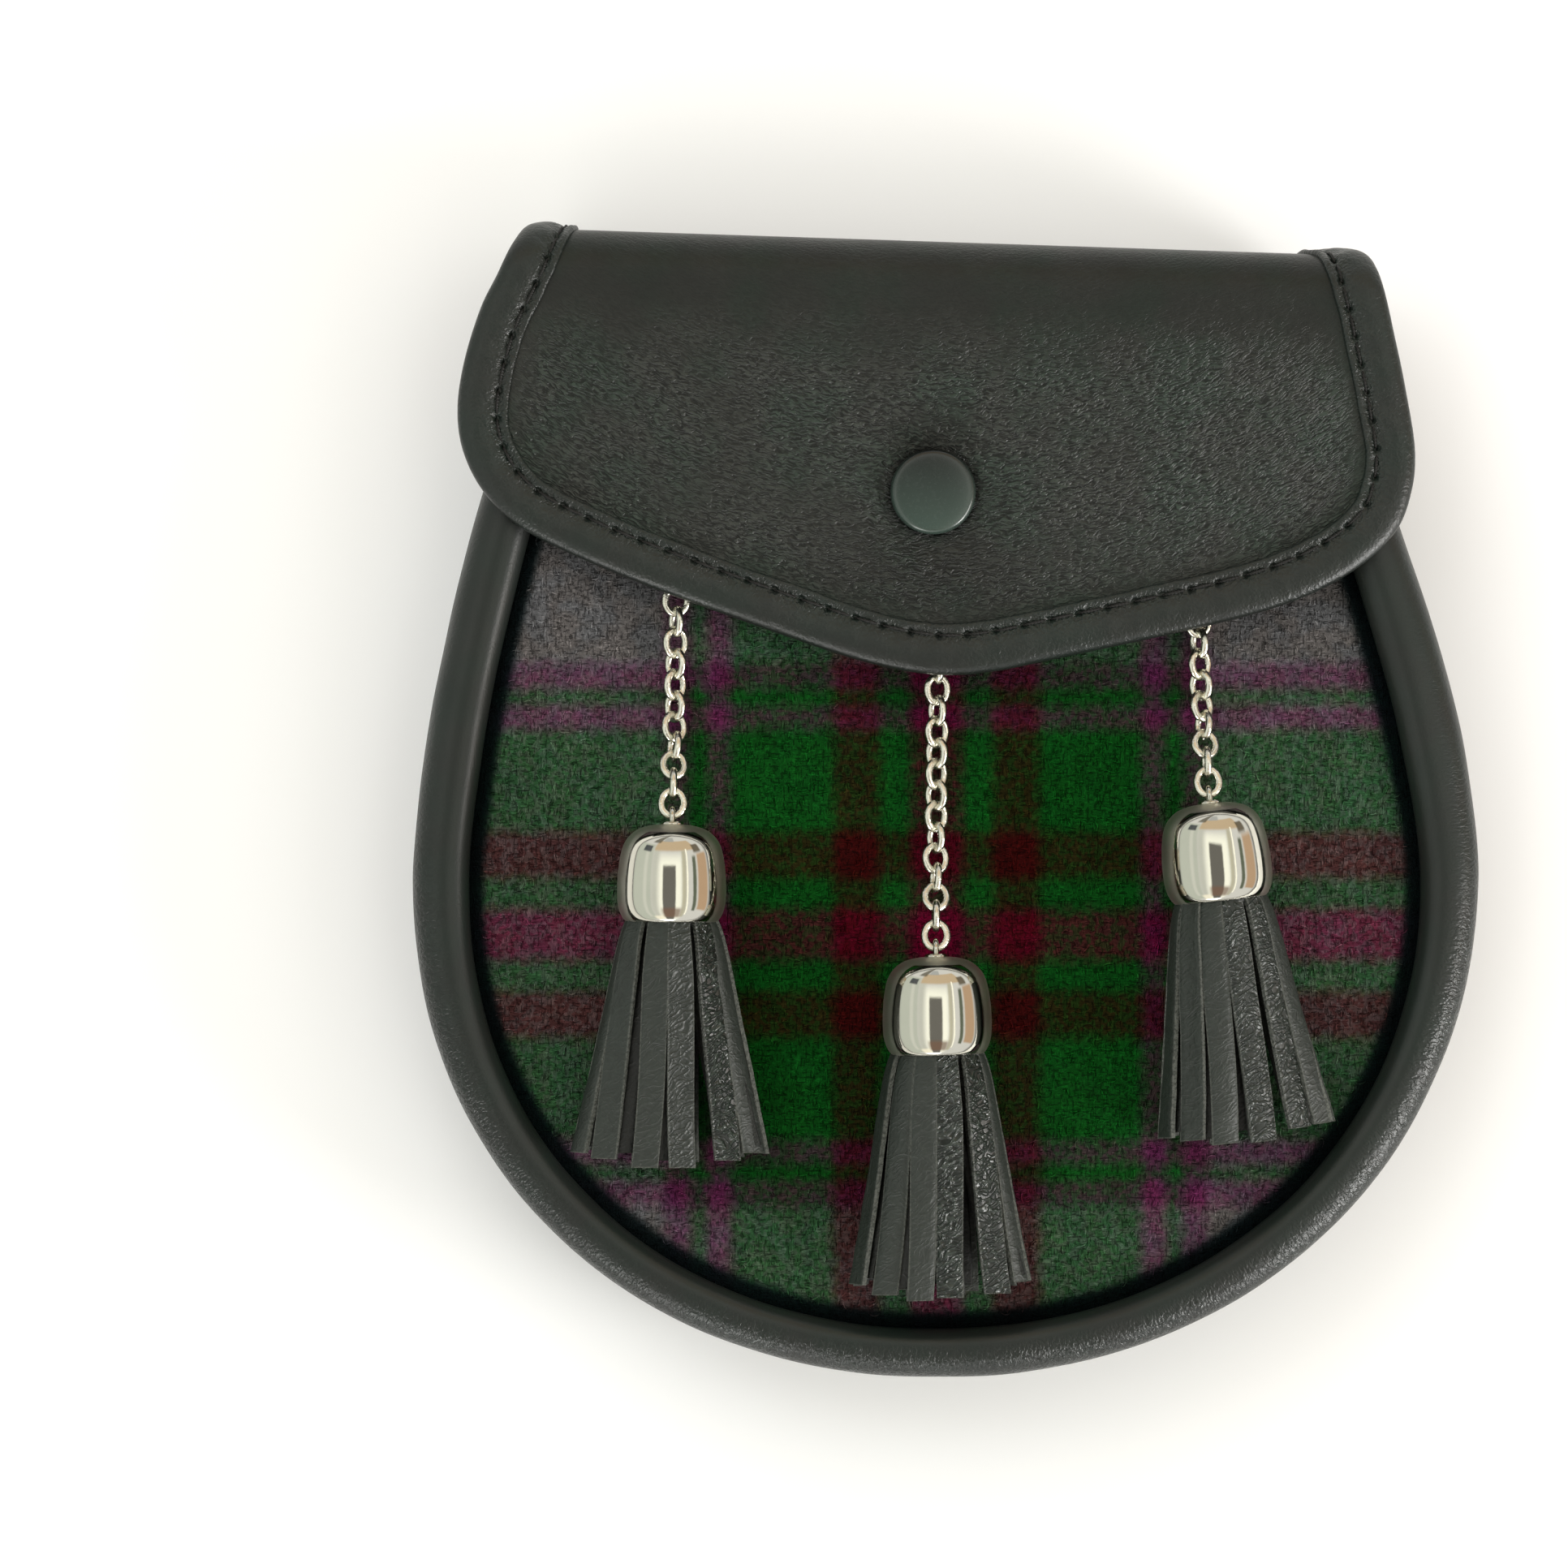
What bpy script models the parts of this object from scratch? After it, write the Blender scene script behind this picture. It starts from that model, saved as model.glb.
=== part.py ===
"""A leather sporran pouch with a tartan front, lying on its back.

+X is to the right across the front, +Y runs up to the fold of the flap, and +Z comes out of the front.
The origin is under the middle of the pouch, on the surface that it lies on.
"""

import math

import bmesh
import bpy
from mathutils import Vector

MM = 0.001  # every size below is in millimetres, and a mesh's points are multiplied by this
GAP = 0.3  # clearance between pieces that touch

# The pouch's outline, seen from the front
HALF_WIDTH = 93.6  # at the widest level
WIDEST_Y = -13.6
BOTTOM_DEPTH = 88.1  # from the widest level down to the bottom
BOTTOM_POWER = 2.1  # a superellipse, a little fuller than an ellipse
SHOULDER_RUN = 109.6  # over this height above the widest level the half-width loses SHOULDER_LOSS
SHOULDER_LOSS = 29.6
SHOULDER_POWER = 1.53
UPPER_LEAN, LOWER_LEAN = 0.033, 0.018  # the pouch sags a little to one side above and below
LEAN_ROUND = 15.0

# Levels, from the surface up
LOOP_LEATHER = 1.9
BACK_PANEL = (7.0, 9.0)
GUSSET = (9.3, 25.7)
BOARD = (27.0, 29.6)
RIM_TOP = 35.2
PANEL_INSET = 5.4  # a panel's edge from the outline
MOUTH_Y = 88.0

# Flap: a sheet that folds over the top, in its own frame with y = 0 at the fold
FLAP_FOLD_AT = (-1.27, 97.7)
FLAP_TILT = math.radians(-1.9)
FLAP_LEATHER = 2.2
FLAP_FRONT_Z, FLAP_BACK_Z = 37.7, 5.5
FOLD_RADIUS = 6.0
FLAP_TAIL = 20.0  # how far the flap reaches down the back
FLAP_TAIL_HALF, FLAP_WALL_HALF = 71.0, 72.6
BINDING_WIDTH, BINDING_HALF = 9.0, 2.2
BINDING_CLEAR = 0.45  # a little over GAP, because the flap's facets are longer than the binding's
BINDING_SHARE_AT_BACK = 0.5  # of BINDING_HALF, on the side towards the back panel

# Snap fastener, in the flap's frame
SNAP_AT = (0.45, -43.7)
SNAP_DIP, SNAP_DIP_REACH = 2.2, 12.0
SNAP_RADIUS, SNAP_HEIGHT = 7.5, 2.6
STUD_RADIUS = 4.5

# Chains: cable links lying on the tartan, which rise to the eye of a bell
WIRE = 0.55
LINK_HALF_LENGTH, LINK_HALF_WIDTH = 2.25, 1.8  # of the wire's centre line
LINK_PITCH = 3.72
CHAIN_Z = 32.3
CHAIN_RISE_RUN = 18.0
CHAIN_ROLL = math.radians(45)
STAPLE_SPAN, STAPLE_TOP = 3.2, 33.8

# Tassels: a bell of turned metal over a head of leather strips
BELL_RADIUS, BELL_LENGTH = 9.6, 17.0
BELL_Z = BOARD[1] + GAP + BELL_RADIUS
BELL_BORE, BELL_CROWN = 7.7, 5.0
EYE_RADIUS, EYE_WIRE, EYE_STANDS = 1.7, 0.5, 1.2
STRIPS = 14
STRIP_ROOT_RADIUS, STRIP_THICKNESS, STRIP_END_WIDTH = 6.2, 2.0, 4.2
FRINGE_LENGTH = 43.0
FRINGE_END_Z, FRINGE_END_HALF_HEIGHT = 36.5, 5.2
FRINGE_ARC = 2.6  # how much shorter the outermost strips end
CORE_ROOT_RADIUS, CORE_INSET, CORE_SHARE = 4.2, 3.2, 0.93  # the inner strips, as one solid

# Each tassel's links in its chain, a point that the chain heads for, the top of its bell, the lean of the
# bell and fringe in degrees, and the half-width of its fringe
TASSEL_COLUMNS = ("name", "links", "towards", "bell_at", "lean", "spread")
TASSEL_ROWS = (
    ("left", 13, (-47.3, 46.0), (-48.0, -4.4), -0.7, 17.2),
    ("middle", 17, (-1.2, 36.0), (-1.8, -27.6), 1.1, 15.7),
    ("right", 11, (44.2, 42.0), (46.2, -0.7), 6.5, 15.4),
)
TASSELS = [dict(zip(TASSEL_COLUMNS, row)) for row in TASSEL_ROWS]

# Cross-sections as (distance in from the outline, height)
FRONT_RIM_SECTION = (
    (0.0, 30.4), (0.7, 27.4), (2.4, 26.0), (4.9, 26.0), (4.9, 29.9),
    (8.9, 29.9), (9.6, 31.8), (8.4, 34.2), (5.2, RIM_TOP), (1.8, 33.9),
)  # fmt: skip
BACK_RIM_SECTION = (
    (0.0, 5.0), (1.0, 1.8), (3.2, 0.0), (6.2, 0.0), (8.9, 2.4),
    (8.9, 6.7), (4.9, 6.7), (4.9, 9.0), (1.0, 8.2),
)  # fmt: skip
GUSSET_SECTION = (
    (3.1, GUSSET[0]), (5.3, 17.5), (3.1, GUSSET[1]),
    (4.9, GUSSET[1]), (7.1, 17.5), (4.9, GUSSET[0]),
)  # fmt: skip
RIM_STEP = 4.9  # past this a front rim narrows towards the bottom of the pouch
RIM_NARROWS = 0.3
FRONT_RIM_END_Y, BACK_RIM_END_Y, GUSSET_END_Y = 88.0, 74.0, 88.0

# The flap's edge seen from the front, in its own frame: x, y, from its left end round to its right end
FLAP_EDGE = (
    (-73.2, -1.1), (-76.9, -7.1), (-80.0, -14.0), (-82.6, -23.5), (-83.5, -32.0), (-82.2, -39.5),
    (-78.2, -46.6), (-71.6, -52.4), (-61.1, -57.4), (-45.6, -63.1), (-21.3, -70.9), (-8.5, -74.4),
    (2.5, -75.8), (12.0, -74.9), (22.6, -72.4), (50.7, -65.3), (64.6, -60.7), (74.6, -55.2),
    (81.6, -48.4), (84.3, -41.5), (84.4, -33.5), (82.0, -22.0), (79.8, -13.0), (78.1, -6.8), (75.0, -1.1),
)  # fmt: skip

# Belt loop: its side view as (y, z), from the lower foot round the outside to the upper foot
LOOP_X, LOOP_WIDTH = 46.0, 20.0
LOOP_FEET, LOOP_SPAN = (33.0, 72.0), (42.0, 64.0)
LOOP_FOOT = 6.0
LOOP_FOOT_Z = BACK_PANEL[0] - GAP


# ---------------------------------------------------------------- scene and meshes


def clear_scene():
    for found in list(bpy.data.objects):
        bpy.data.objects.remove(found, do_unlink=True)


def material(name, colour, roughness, metallic=0.0):
    """A plain Principled material, made once for each name."""
    made = bpy.data.materials.get(name)
    if made:
        return made
    made = bpy.data.materials.new(name)
    made.use_nodes = True
    shader = made.node_tree.nodes["Principled BSDF"]
    shader.inputs["Base Color"].default_value = (*colour, 1.0)
    shader.inputs["Roughness"].default_value = roughness
    shader.inputs["Metallic"].default_value = metallic
    made.diffuse_color = (*colour, 1.0)
    return made


def leather():
    return material("black_leather", (0.032, 0.035, 0.032), 0.55)


def tartan_cloth():
    return material("tartan_cloth", (0.05, 0.09, 0.05), 0.9)


def enamel():
    return material("dark_enamel", (0.05, 0.065, 0.06), 0.3)


def nickel():
    return material("bright_nickel", (0.75, 0.73, 0.68), 0.12, 1.0)


def parent_at(name, location, turn=0.0):
    """An empty that carries pieces modelled in a frame of their own."""
    frame = bpy.data.objects.new(name, None)
    bpy.context.scene.collection.objects.link(frame)
    frame.location = Vector(location) * MM
    frame.rotation_euler = (0.0, 0.0, turn)
    return frame


def add_piece(name, points, faces, look, parent=None, sharp=35.0):
    """A named object from points in millimetres, with its faces turned outwards and shaded smooth."""
    mesh = bpy.data.meshes.new(name)
    mesh.from_pydata([Vector(p) * MM for p in points], [], faces)
    shape = bmesh.new()
    shape.from_mesh(mesh)
    bmesh.ops.recalc_face_normals(shape, faces=shape.faces)
    shape.to_mesh(mesh)
    shape.free()
    mesh.shade_smooth()
    mesh.set_sharp_from_angle(angle=math.radians(sharp))
    mesh.materials.append(look)
    piece = bpy.data.objects.new(name, mesh)
    bpy.context.scene.collection.objects.link(piece)
    piece.parent = parent
    return piece


def fuse(piece, other):
    """Joins another object into a piece, and hides the other one as a helper."""
    other.hide_render = True
    other.display_type = "WIRE"
    union = piece.modifiers.new("fuse", "BOOLEAN")
    union.operation = "UNION"
    union.object = other


def loft(rings, closed=False):
    """(points, faces) of a skin through rings of equal length: a loop if closed, or else with flat ends."""
    size = len(rings[0])
    points = [p for ring in rings for p in ring]
    spans = len(rings) if closed else len(rings) - 1
    faces = []
    for r in range(spans):
        here, there = r * size, (r + 1) % len(rings) * size
        for k in range(size):
            after = (k + 1) % size
            faces.append((here + k, here + after, there + after, there + k))
    if not closed:
        faces.append(tuple(range(size)))
        faces.append(tuple((len(rings) - 1) * size + k for k in range(size)))
    return points, faces


def joined(parts):
    """(points, faces) of several skins as one mesh."""
    points, faces = [], []
    for more_points, more_faces in parts:
        start = len(points)
        points += more_points
        faces += [tuple(start + k for k in face) for face in more_faces]
    return points, faces


def turned(profile, sides):
    """(points, faces) of a closed profile of (radius, distance down) turned about the y axis."""
    points, rings = [], []
    for radius, down in profile:
        ring = []
        for k in range(sides if radius else 1):
            angle = math.tau * k / sides
            ring.append(len(points))
            points.append((radius * math.cos(angle), -down, radius * math.sin(angle)))
        rings.append(ring)
    faces = []
    for here, there in zip(rings, rings[1:] + rings[:1]):
        for k in range(sides):
            after = (k + 1) % sides
            corners = [here[k % len(here)], here[after % len(here)]]
            corners += [there[after % len(there)], there[k % len(there)]]
            unique = tuple(dict.fromkeys(corners))
            if len(unique) > 2:
                faces.append(unique)
    return points, faces


# ---------------------------------------------------------------- curves


def smooth_through(points, steps=8):
    """A Catmull-Rom curve through points in the plane."""
    ends = [2 * points[0] - points[1], *points, 2 * points[-1] - points[-2]]
    curve = []
    for a, b, c, d in zip(ends, ends[1:], ends[2:], ends[3:]):
        for k in range(steps):
            t = k / steps
            bend, twist = 2 * a - 5 * b + 4 * c - d, 3 * b - a - 3 * c + d
            curve.append(0.5 * (2 * b + (c - a) * t + bend * t**2 + twist * t**3))
    return [*curve, points[-1]]


def evenly(curve, count):
    """Count points at equal distances along a curve."""
    reach = [0.0]
    for a, b in zip(curve, curve[1:]):
        reach.append(reach[-1] + (b - a).length)
    found, k = [], 0
    for n in range(count):
        want = reach[-1] * n / (count - 1)
        while k < len(curve) - 2 and reach[k + 1] < want:
            k += 1
        share = (want - reach[k]) / max(reach[k + 1] - reach[k], 1e-9)
        found.append(curve[k].lerp(curve[k + 1], min(share, 1.0)))
    return found


def inward(curve):
    """The unit normal at each point of a curve that runs anticlockwise, pointing to its inside."""
    normals = []
    for k in range(len(curve)):
        along = curve[min(k + 1, len(curve) - 1)] - curve[max(k - 1, 0)]
        normals.append(Vector((-along.y, along.x)).normalized())
    return normals


def half_width(y):
    if y < WIDEST_Y:
        share = min((WIDEST_Y - y) / BOTTOM_DEPTH, 1.0)
        return HALF_WIDTH * (1 - share**BOTTOM_POWER) ** (1 / BOTTOM_POWER)
    return HALF_WIDTH - SHOULDER_LOSS * ((y - WIDEST_Y) / SHOULDER_RUN) ** SHOULDER_POWER


def lean(y):
    """How far the pouch's middle has moved to the left at this height."""
    off = y - WIDEST_Y
    rate = UPPER_LEAN if off > 0 else LOWER_LEAN
    return -rate * (math.hypot(off, LEAN_ROUND) - LEAN_ROUND)


def outline(top, count):
    """The pouch's outline from its left side at height top, round the bottom, to its right side."""
    shoulder = [top + (WIDEST_Y - top) * k / 40 for k in range(40)]
    right = [Vector((half_width(y), y)) for y in shoulder]
    for k in range(91):
        angle = math.radians(k)
        x = HALF_WIDTH * math.cos(angle) ** (2 / BOTTOM_POWER)
        right.append(Vector((x, WIDEST_Y - BOTTOM_DEPTH * math.sin(angle) ** (2 / BOTTOM_POWER))))
    left = [Vector((-p.x, p.y)) for p in right[:-1]]
    whole = [Vector((p.x + lean(p.y), p.y)) for p in left + right[::-1]]
    return evenly(whole, count)


# ---------------------------------------------------------------- the pouch


def swept_section(name, section, top, count, narrows=0.0):
    """A piece with one cross-section all round the pouch's outline."""
    path = outline(top, count)
    rings = []
    for at, normal in zip(path, inward(path)):
        ring = []
        for inset, z in section:
            if inset > RIM_STEP:
                inset -= (inset - RIM_STEP) * narrows * max(normal.y, 0.0)
            ring.append((at.x + normal.x * inset, at.y + normal.y * inset, z))
        rings.append(ring)
    return add_piece(name, *loft(rings), leather())


def flat_panel(name, levels, look):
    """A panel inside the outline, with a straight edge at the mouth."""
    path = outline(MOUTH_Y, 48)
    edge = [at + normal * PANEL_INSET for at, normal in zip(path, inward(path))]
    rings = [[(p.x, p.y, z) for p in edge] for z in levels]
    return add_piece(name, *loft(rings), look)


def belt_loop(name, x):
    """A leather strap sewn down at both ends, which stands off the back panel between them."""
    (low, high), (start, end) = LOOP_FEET, LOOP_SPAN
    top, thick = LOOP_FOOT_Z, LOOP_LEATHER
    side = [
        (low, top), (low, top - thick), (low + LOOP_FOOT, top - thick), (start, 0.0),
        (end, 0.0), (high - LOOP_FOOT, top - thick), (high, top - thick), (high, top),
        (high - LOOP_FOOT - 1, top), (end - 1, thick), (start + 1, thick), (low + LOOP_FOOT + 1, top),
    ]  # fmt: skip
    rings = [[(x + half, y, z) for y, z in side] for half in (-LOOP_WIDTH / 2, LOOP_WIDTH / 2)]
    return add_piece(name, *loft(rings), leather())


def make_pouch():
    swept_section("front_rim", FRONT_RIM_SECTION, FRONT_RIM_END_Y, 50, RIM_NARROWS)
    swept_section("back_rim", BACK_RIM_SECTION, BACK_RIM_END_Y, 46)
    swept_section("gusset", GUSSET_SECTION, GUSSET_END_Y, 42)
    flat_panel("tartan_front", BOARD, tartan_cloth())
    flat_panel("back_panel", BACK_PANEL, leather())
    belt_loop("belt_loop_left", -LOOP_X)
    belt_loop("belt_loop_right", LOOP_X)


# ---------------------------------------------------------------- the flap

FLAP_OUTER_Y = -FLAP_LEATHER / 2  # of the middle of the leather, where the fold is vertical
QUARTER = FOLD_RADIUS * math.pi / 2
WALL = FLAP_FRONT_Z - FLAP_BACK_Z - 2 * FOLD_RADIUS


def flap_surface(x, run, off):
    """A point of the folded flap, and off millimetres out from the middle of its leather.

    run is the distance along the leather: 0 where the fold's front corner starts, more down the front.
    """
    back = run < -WALL
    bend = (run if not back else -run - WALL) / FOLD_RADIUS
    bend = min(max(bend, 0.0), math.pi / 2)
    straight = max((run if not back else -run - WALL) - QUARTER, 0.0)
    y = FLAP_OUTER_Y - FOLD_RADIUS * (1 - math.cos(bend)) - straight + off * math.cos(bend)
    z = (FOLD_RADIUS + off) * math.sin(bend) - FOLD_RADIUS
    if back:
        return Vector((x, y, FLAP_BACK_Z - z))
    return Vector((x, y, FLAP_FRONT_Z + z + min(run, 0.0)))


def run_at(y):
    """The distance along the leather to the height y on the front."""
    below = FLAP_OUTER_Y - y
    if below >= FOLD_RADIUS:
        return QUARTER + below - FOLD_RADIUS
    return FOLD_RADIUS * math.acos(1 - max(below, 0.0) / FOLD_RADIUS)


def flap_edge(count, inset):
    """The flap's edge laid flat, as points (x, run), moved in by inset."""
    tail = -(WALL + QUARTER + FLAP_TAIL - FOLD_RADIUS - FLAP_LEATHER / 2)
    ends = [Vector((side * FLAP_TAIL_HALF, tail)) for side in (-1, 1)]
    middle = [Vector((side * FLAP_WALL_HALF, -WALL / 2)) for side in (-1, 1)]
    front = [Vector((x, run_at(y))) for x, y in FLAP_EDGE]
    curve = evenly(smooth_through([ends[0], middle[0], *front, middle[1], ends[1]]), count)
    # run grows downwards, so this curve is clockwise and its inside is to the other hand
    return [at - normal * inset for at, normal in zip(curve, inward(curve))]


def make_binding(frame):
    """The strip folded over the flap's free edges, from the back over the fold and round the front."""
    edge = ((0.8, 0.8), (2.6, 1.0), (BINDING_WIDTH, 0.85))
    section = ((0.0, 0.0), *edge, *((inset, -height) for inset, height in edge[::-1]))
    count = 62
    lines = {inset: flap_edge(count, inset) for inset, _ in section}
    rings = []
    for k in range(count):
        ring = []
        for inset, height in section:
            at = lines[inset][k]
            share = 1.0
            if height < 0:
                front = min(max(1 + at.y / WALL, 0.0), 1.0)
                share = BINDING_SHARE_AT_BACK + (1 - BINDING_SHARE_AT_BACK) * front
            ring.append(flap_surface(at.x, at.y, height * share * BINDING_HALF))
        rings.append(ring)
    return add_piece("flap_binding", *loft(rings), leather(), frame)


def flap_grid():
    """Rows of points (x, run) that fill the flap inside its binding, closer together round the snap."""
    edge = flap_edge(240, BINDING_WIDTH + BINDING_CLEAR)
    left = max(range(120), key=lambda k: edge[k].y - edge[k].x)
    right = max(range(120, 240), key=lambda k: edge[k].y + edge[k].x)
    across = (0, 0.12, 0.26, 0.37, 0.44, 0.505, 0.57, 0.64, 0.75, 0.88, 1)
    tail_runs = [edge[0].y, -WALL - QUARTER, -WALL - QUARTER / 2, -WALL, -WALL / 2]
    tail_runs += [QUARTER * share / 3 for share in range(4)]
    down = (0, 0.22, 0.4, 0.5, 0.585, 0.68, 0.79, 0.9, 1)

    def on_side(run, points):
        after = next((k for k, p in enumerate(points) if p.y >= run), len(points) - 1)
        a, b = points[max(after - 1, 0)], points[after]
        return a.lerp(b, (run - a.y) / max(b.y - a.y, 1e-9)) if after else b

    sides = edge[: left + 1], edge[right:][::-1]
    rows = []
    for run in tail_runs:
        ends = [on_side(run, side).x for side in sides]
        rows.append([Vector((ends[0] + (ends[1] - ends[0]) * u, run)) for u in across])
    top = [on_side(14.0, side) for side in sides]
    fronts = [smooth_side(top[n], side) for n, side in enumerate(sides)]
    bottom = evenly(edge[left : right + 1], 201)
    for v in down:
        west, east = (front[round(v * 200)] for front in fronts)
        row = []
        for u in across:
            low, high = bottom[round(u * 200)], top[0].lerp(top[1], u)
            corners = top[0].lerp(top[1], u).lerp(bottom[0].lerp(bottom[-1], u), v)
            row.append(high.lerp(low, v) + west.lerp(east, u) - corners)
        rows.append(row)
    return rows


def smooth_side(top, side):
    """The part of a side below its point top, as 201 even points."""
    return evenly([top] + [p for p in side if p.y > top.y + 0.1], 201)


def snap_run():
    return run_at(SNAP_AT[1])


def make_flap(frame):
    """The leather inside the binding, drawn down round the snap."""
    rows = flap_grid()
    layers = []
    for off in (FLAP_LEATHER / 2, -FLAP_LEATHER / 2):
        for row in rows:
            for at in row:
                away = (at - Vector((SNAP_AT[0], snap_run()))).length
                dip = SNAP_DIP * math.exp(-((away / SNAP_DIP_REACH) ** 2))
                layers.append(flap_surface(at.x, at.y, off) - Vector((0, 0, dip)))
    wide, tall = len(rows[0]), len(rows)
    under = wide * tall
    faces = []
    for r in range(tall - 1):
        for c in range(wide - 1):
            quad = (r * wide + c, r * wide + c + 1, (r + 1) * wide + c + 1, (r + 1) * wide + c)
            faces.append(quad)
            faces.append(tuple(under + k for k in quad[::-1]))
    border = [c for c in range(wide)] + [r * wide + wide - 1 for r in range(1, tall)]
    border += [(tall - 1) * wide + c for c in range(wide - 2, -1, -1)]
    border += [r * wide for r in range(tall - 2, 0, -1)]
    for a, b in zip(border, border[1:] + border[:1]):
        faces.append((a, b, under + b, under + a))
    return add_piece("flap", layers, faces, leather(), frame)


def upright(profile, sides, at, base):
    """(points, faces) of a profile of (radius, height) turned about a vertical axis."""
    points, faces = turned([(radius, -height) for radius, height in profile], sides)
    return [(at[0] + x, at[1] + z, base + y) for x, y, z in points], faces


def make_snap(frame):
    """The enamelled cap on the flap, and the plain stud that it closes on, out of sight under it."""
    rim_dip = SNAP_DIP * math.exp(-((SNAP_RADIUS / SNAP_DIP_REACH) ** 2))
    base = FLAP_FRONT_Z + FLAP_LEATHER / 2 - rim_dip + GAP
    edge = [(SNAP_RADIUS - 0.5, 0), (SNAP_RADIUS, 0.5), (SNAP_RADIUS - 0.4, 1.4), (SNAP_RADIUS - 2.0, 2.1)]
    cap = [(0, 0), *edge, (SNAP_RADIUS * 0.4, SNAP_HEIGHT - 0.1), (0, SNAP_HEIGHT)]
    add_piece("snap_cap", *upright(cap, 24, SNAP_AT, base), enamel(), frame)
    stud_base = BOARD[1] + GAP
    stud_height = FLAP_FRONT_Z - FLAP_LEATHER / 2 - SNAP_DIP - GAP - stud_base
    stud = [(0, 0), (STUD_RADIUS, 0), (STUD_RADIUS, stud_height), (0, stud_height)]
    add_piece("snap_stud", *upright(stud, 16, SNAP_AT, stud_base), nickel(), frame)


def make_flap_pieces():
    frame = parent_at("flap_frame", (*FLAP_FOLD_AT, 0.0), FLAP_TILT)
    make_flap(frame)
    make_binding(frame)
    make_snap(frame)


# ---------------------------------------------------------------- chains and tassels


def wire_ring(path, radius, sides, turn=0.0):
    """(points, faces) of a round wire bent into the closed plane loop path."""
    centre = sum(path, Vector()) / len(path)
    flat = (path[0] - centre).cross(path[len(path) // 4] - centre).normalized()
    rings = []
    for k, at in enumerate(path):
        along = (path[(k + 1) % len(path)] - path[k - 1]).normalized()
        out = along.cross(flat)
        ring = []
        for n in range(sides):
            angle = math.tau * n / sides + turn
            ring.append(at + out * (radius * math.cos(angle)) + flat * (radius * math.sin(angle)))
        rings.append(ring)
    return loft(rings, closed=True)


def link(centre, along, side):
    """A cable link: two half circles joined by straight wire."""
    straight = LINK_HALF_LENGTH - LINK_HALF_WIDTH
    path = []
    for end in (0, 1):
        for k in range(5):
            angle = math.pi * (end + k / 4) - math.pi / 2
            reach = LINK_HALF_WIDTH * math.cos(angle) + (straight if end == 0 else -straight)
            path.append(centre + along * reach + side * (LINK_HALF_WIDTH * math.sin(angle)))
    return wire_ring(path, WIRE, 5)


def bell_axis(tassel):
    """The unit direction from a bell's mouth to its top."""
    tilt = math.radians(tassel["lean"])
    return Vector((-math.sin(tilt), math.cos(tilt), 0.0))


def chain_stations(tassel):
    """(centre, direction) of each link, from the bell's eye up to the staple."""
    axis = bell_axis(tassel)
    wire_in_eye = EYE_STANDS + EYE_RADIUS - EYE_WIRE - GAP - WIRE
    start = Vector((*tassel["bell_at"], BELL_Z)) + axis * wire_in_eye
    level = Vector((*tassel["towards"], BELL_Z)) - start
    course = Vector((level.x, level.y, 0)).normalized()
    shared = 2 * LINK_HALF_LENGTH - LINK_PITCH  # how far a link reaches into its neighbour
    ends, reach = [start + course * shared], shared
    while len(ends) <= tassel["links"]:
        reach += 0.02
        share = min(reach / CHAIN_RISE_RUN, 1.0)
        drop = (BELL_Z - CHAIN_Z) * share**2 * (3 - 2 * share)
        at = start + course * reach - Vector((0, 0, drop))
        if (at - ends[-1]).length >= LINK_PITCH:
            ends.append(at)
    stations = []
    for begin, end in zip(ends, ends[1:]):
        along = (end - begin).normalized()
        stations.append((end - along * LINK_HALF_LENGTH, along))
    return stations


def make_chain(tassel, stations):
    """Links turned a quarter from each to the next, fused where they bear on each other."""
    sets = [[], []]
    for k, (centre, along) in enumerate(stations):
        share = k / (len(stations) - 1)
        roll = math.pi / 2 * k + CHAIN_ROLL * math.sin(math.pi * share) ** 2
        level = Vector((-along.y, along.x, 0)).normalized()
        side = level * math.cos(roll) + along.cross(level) * math.sin(roll)
        sets[k % 2].append(link(centre, along, side))
    chain = add_piece("chain_" + tassel["name"], *joined(sets[0]), nickel())
    others = add_piece("other_links_" + tassel["name"], *joined(sets[1]), nickel())
    fuse(chain, others)


def make_anchor(tassel, stations):
    """A plain staple in the front, whose near leg stands inside the chain's last link."""
    centre, along = stations[-1]
    course = Vector((along.x, along.y, 0)).normalized()
    leg = centre + course * (LINK_HALF_LENGTH - WIRE - EYE_WIRE - GAP)
    foot, top = BOARD[1] + GAP, STAPLE_TOP
    legs = [Vector((p.x, p.y, 0)) for p in (leg, leg + course * STAPLE_SPAN)]
    up = Vector((0, 0, 1))
    across = course.cross(up)
    rings = []
    # each ring is turned by its number of eighths, and the two at the corners are stretched over the mitre
    for number, foot_or_top, which in ((0, foot, 0), (1, top, 0), (3, top, 1), (4, foot, 1)):
        facing = math.pi / 4 * number
        out = -course * math.cos(facing) + up * math.sin(facing)
        wide = EYE_WIRE * (math.sqrt(2) if foot_or_top == top else 1.0)
        at = legs[which] + up * foot_or_top
        ring = []
        for n in range(6):
            angle = math.tau * n / 6
            ring.append(at + out * (wide * math.cos(angle)) + across * (EYE_WIRE * math.sin(angle)))
        rings.append(ring)
    add_piece("chain_anchor_" + tassel["name"], *loft(rings), nickel())


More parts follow.
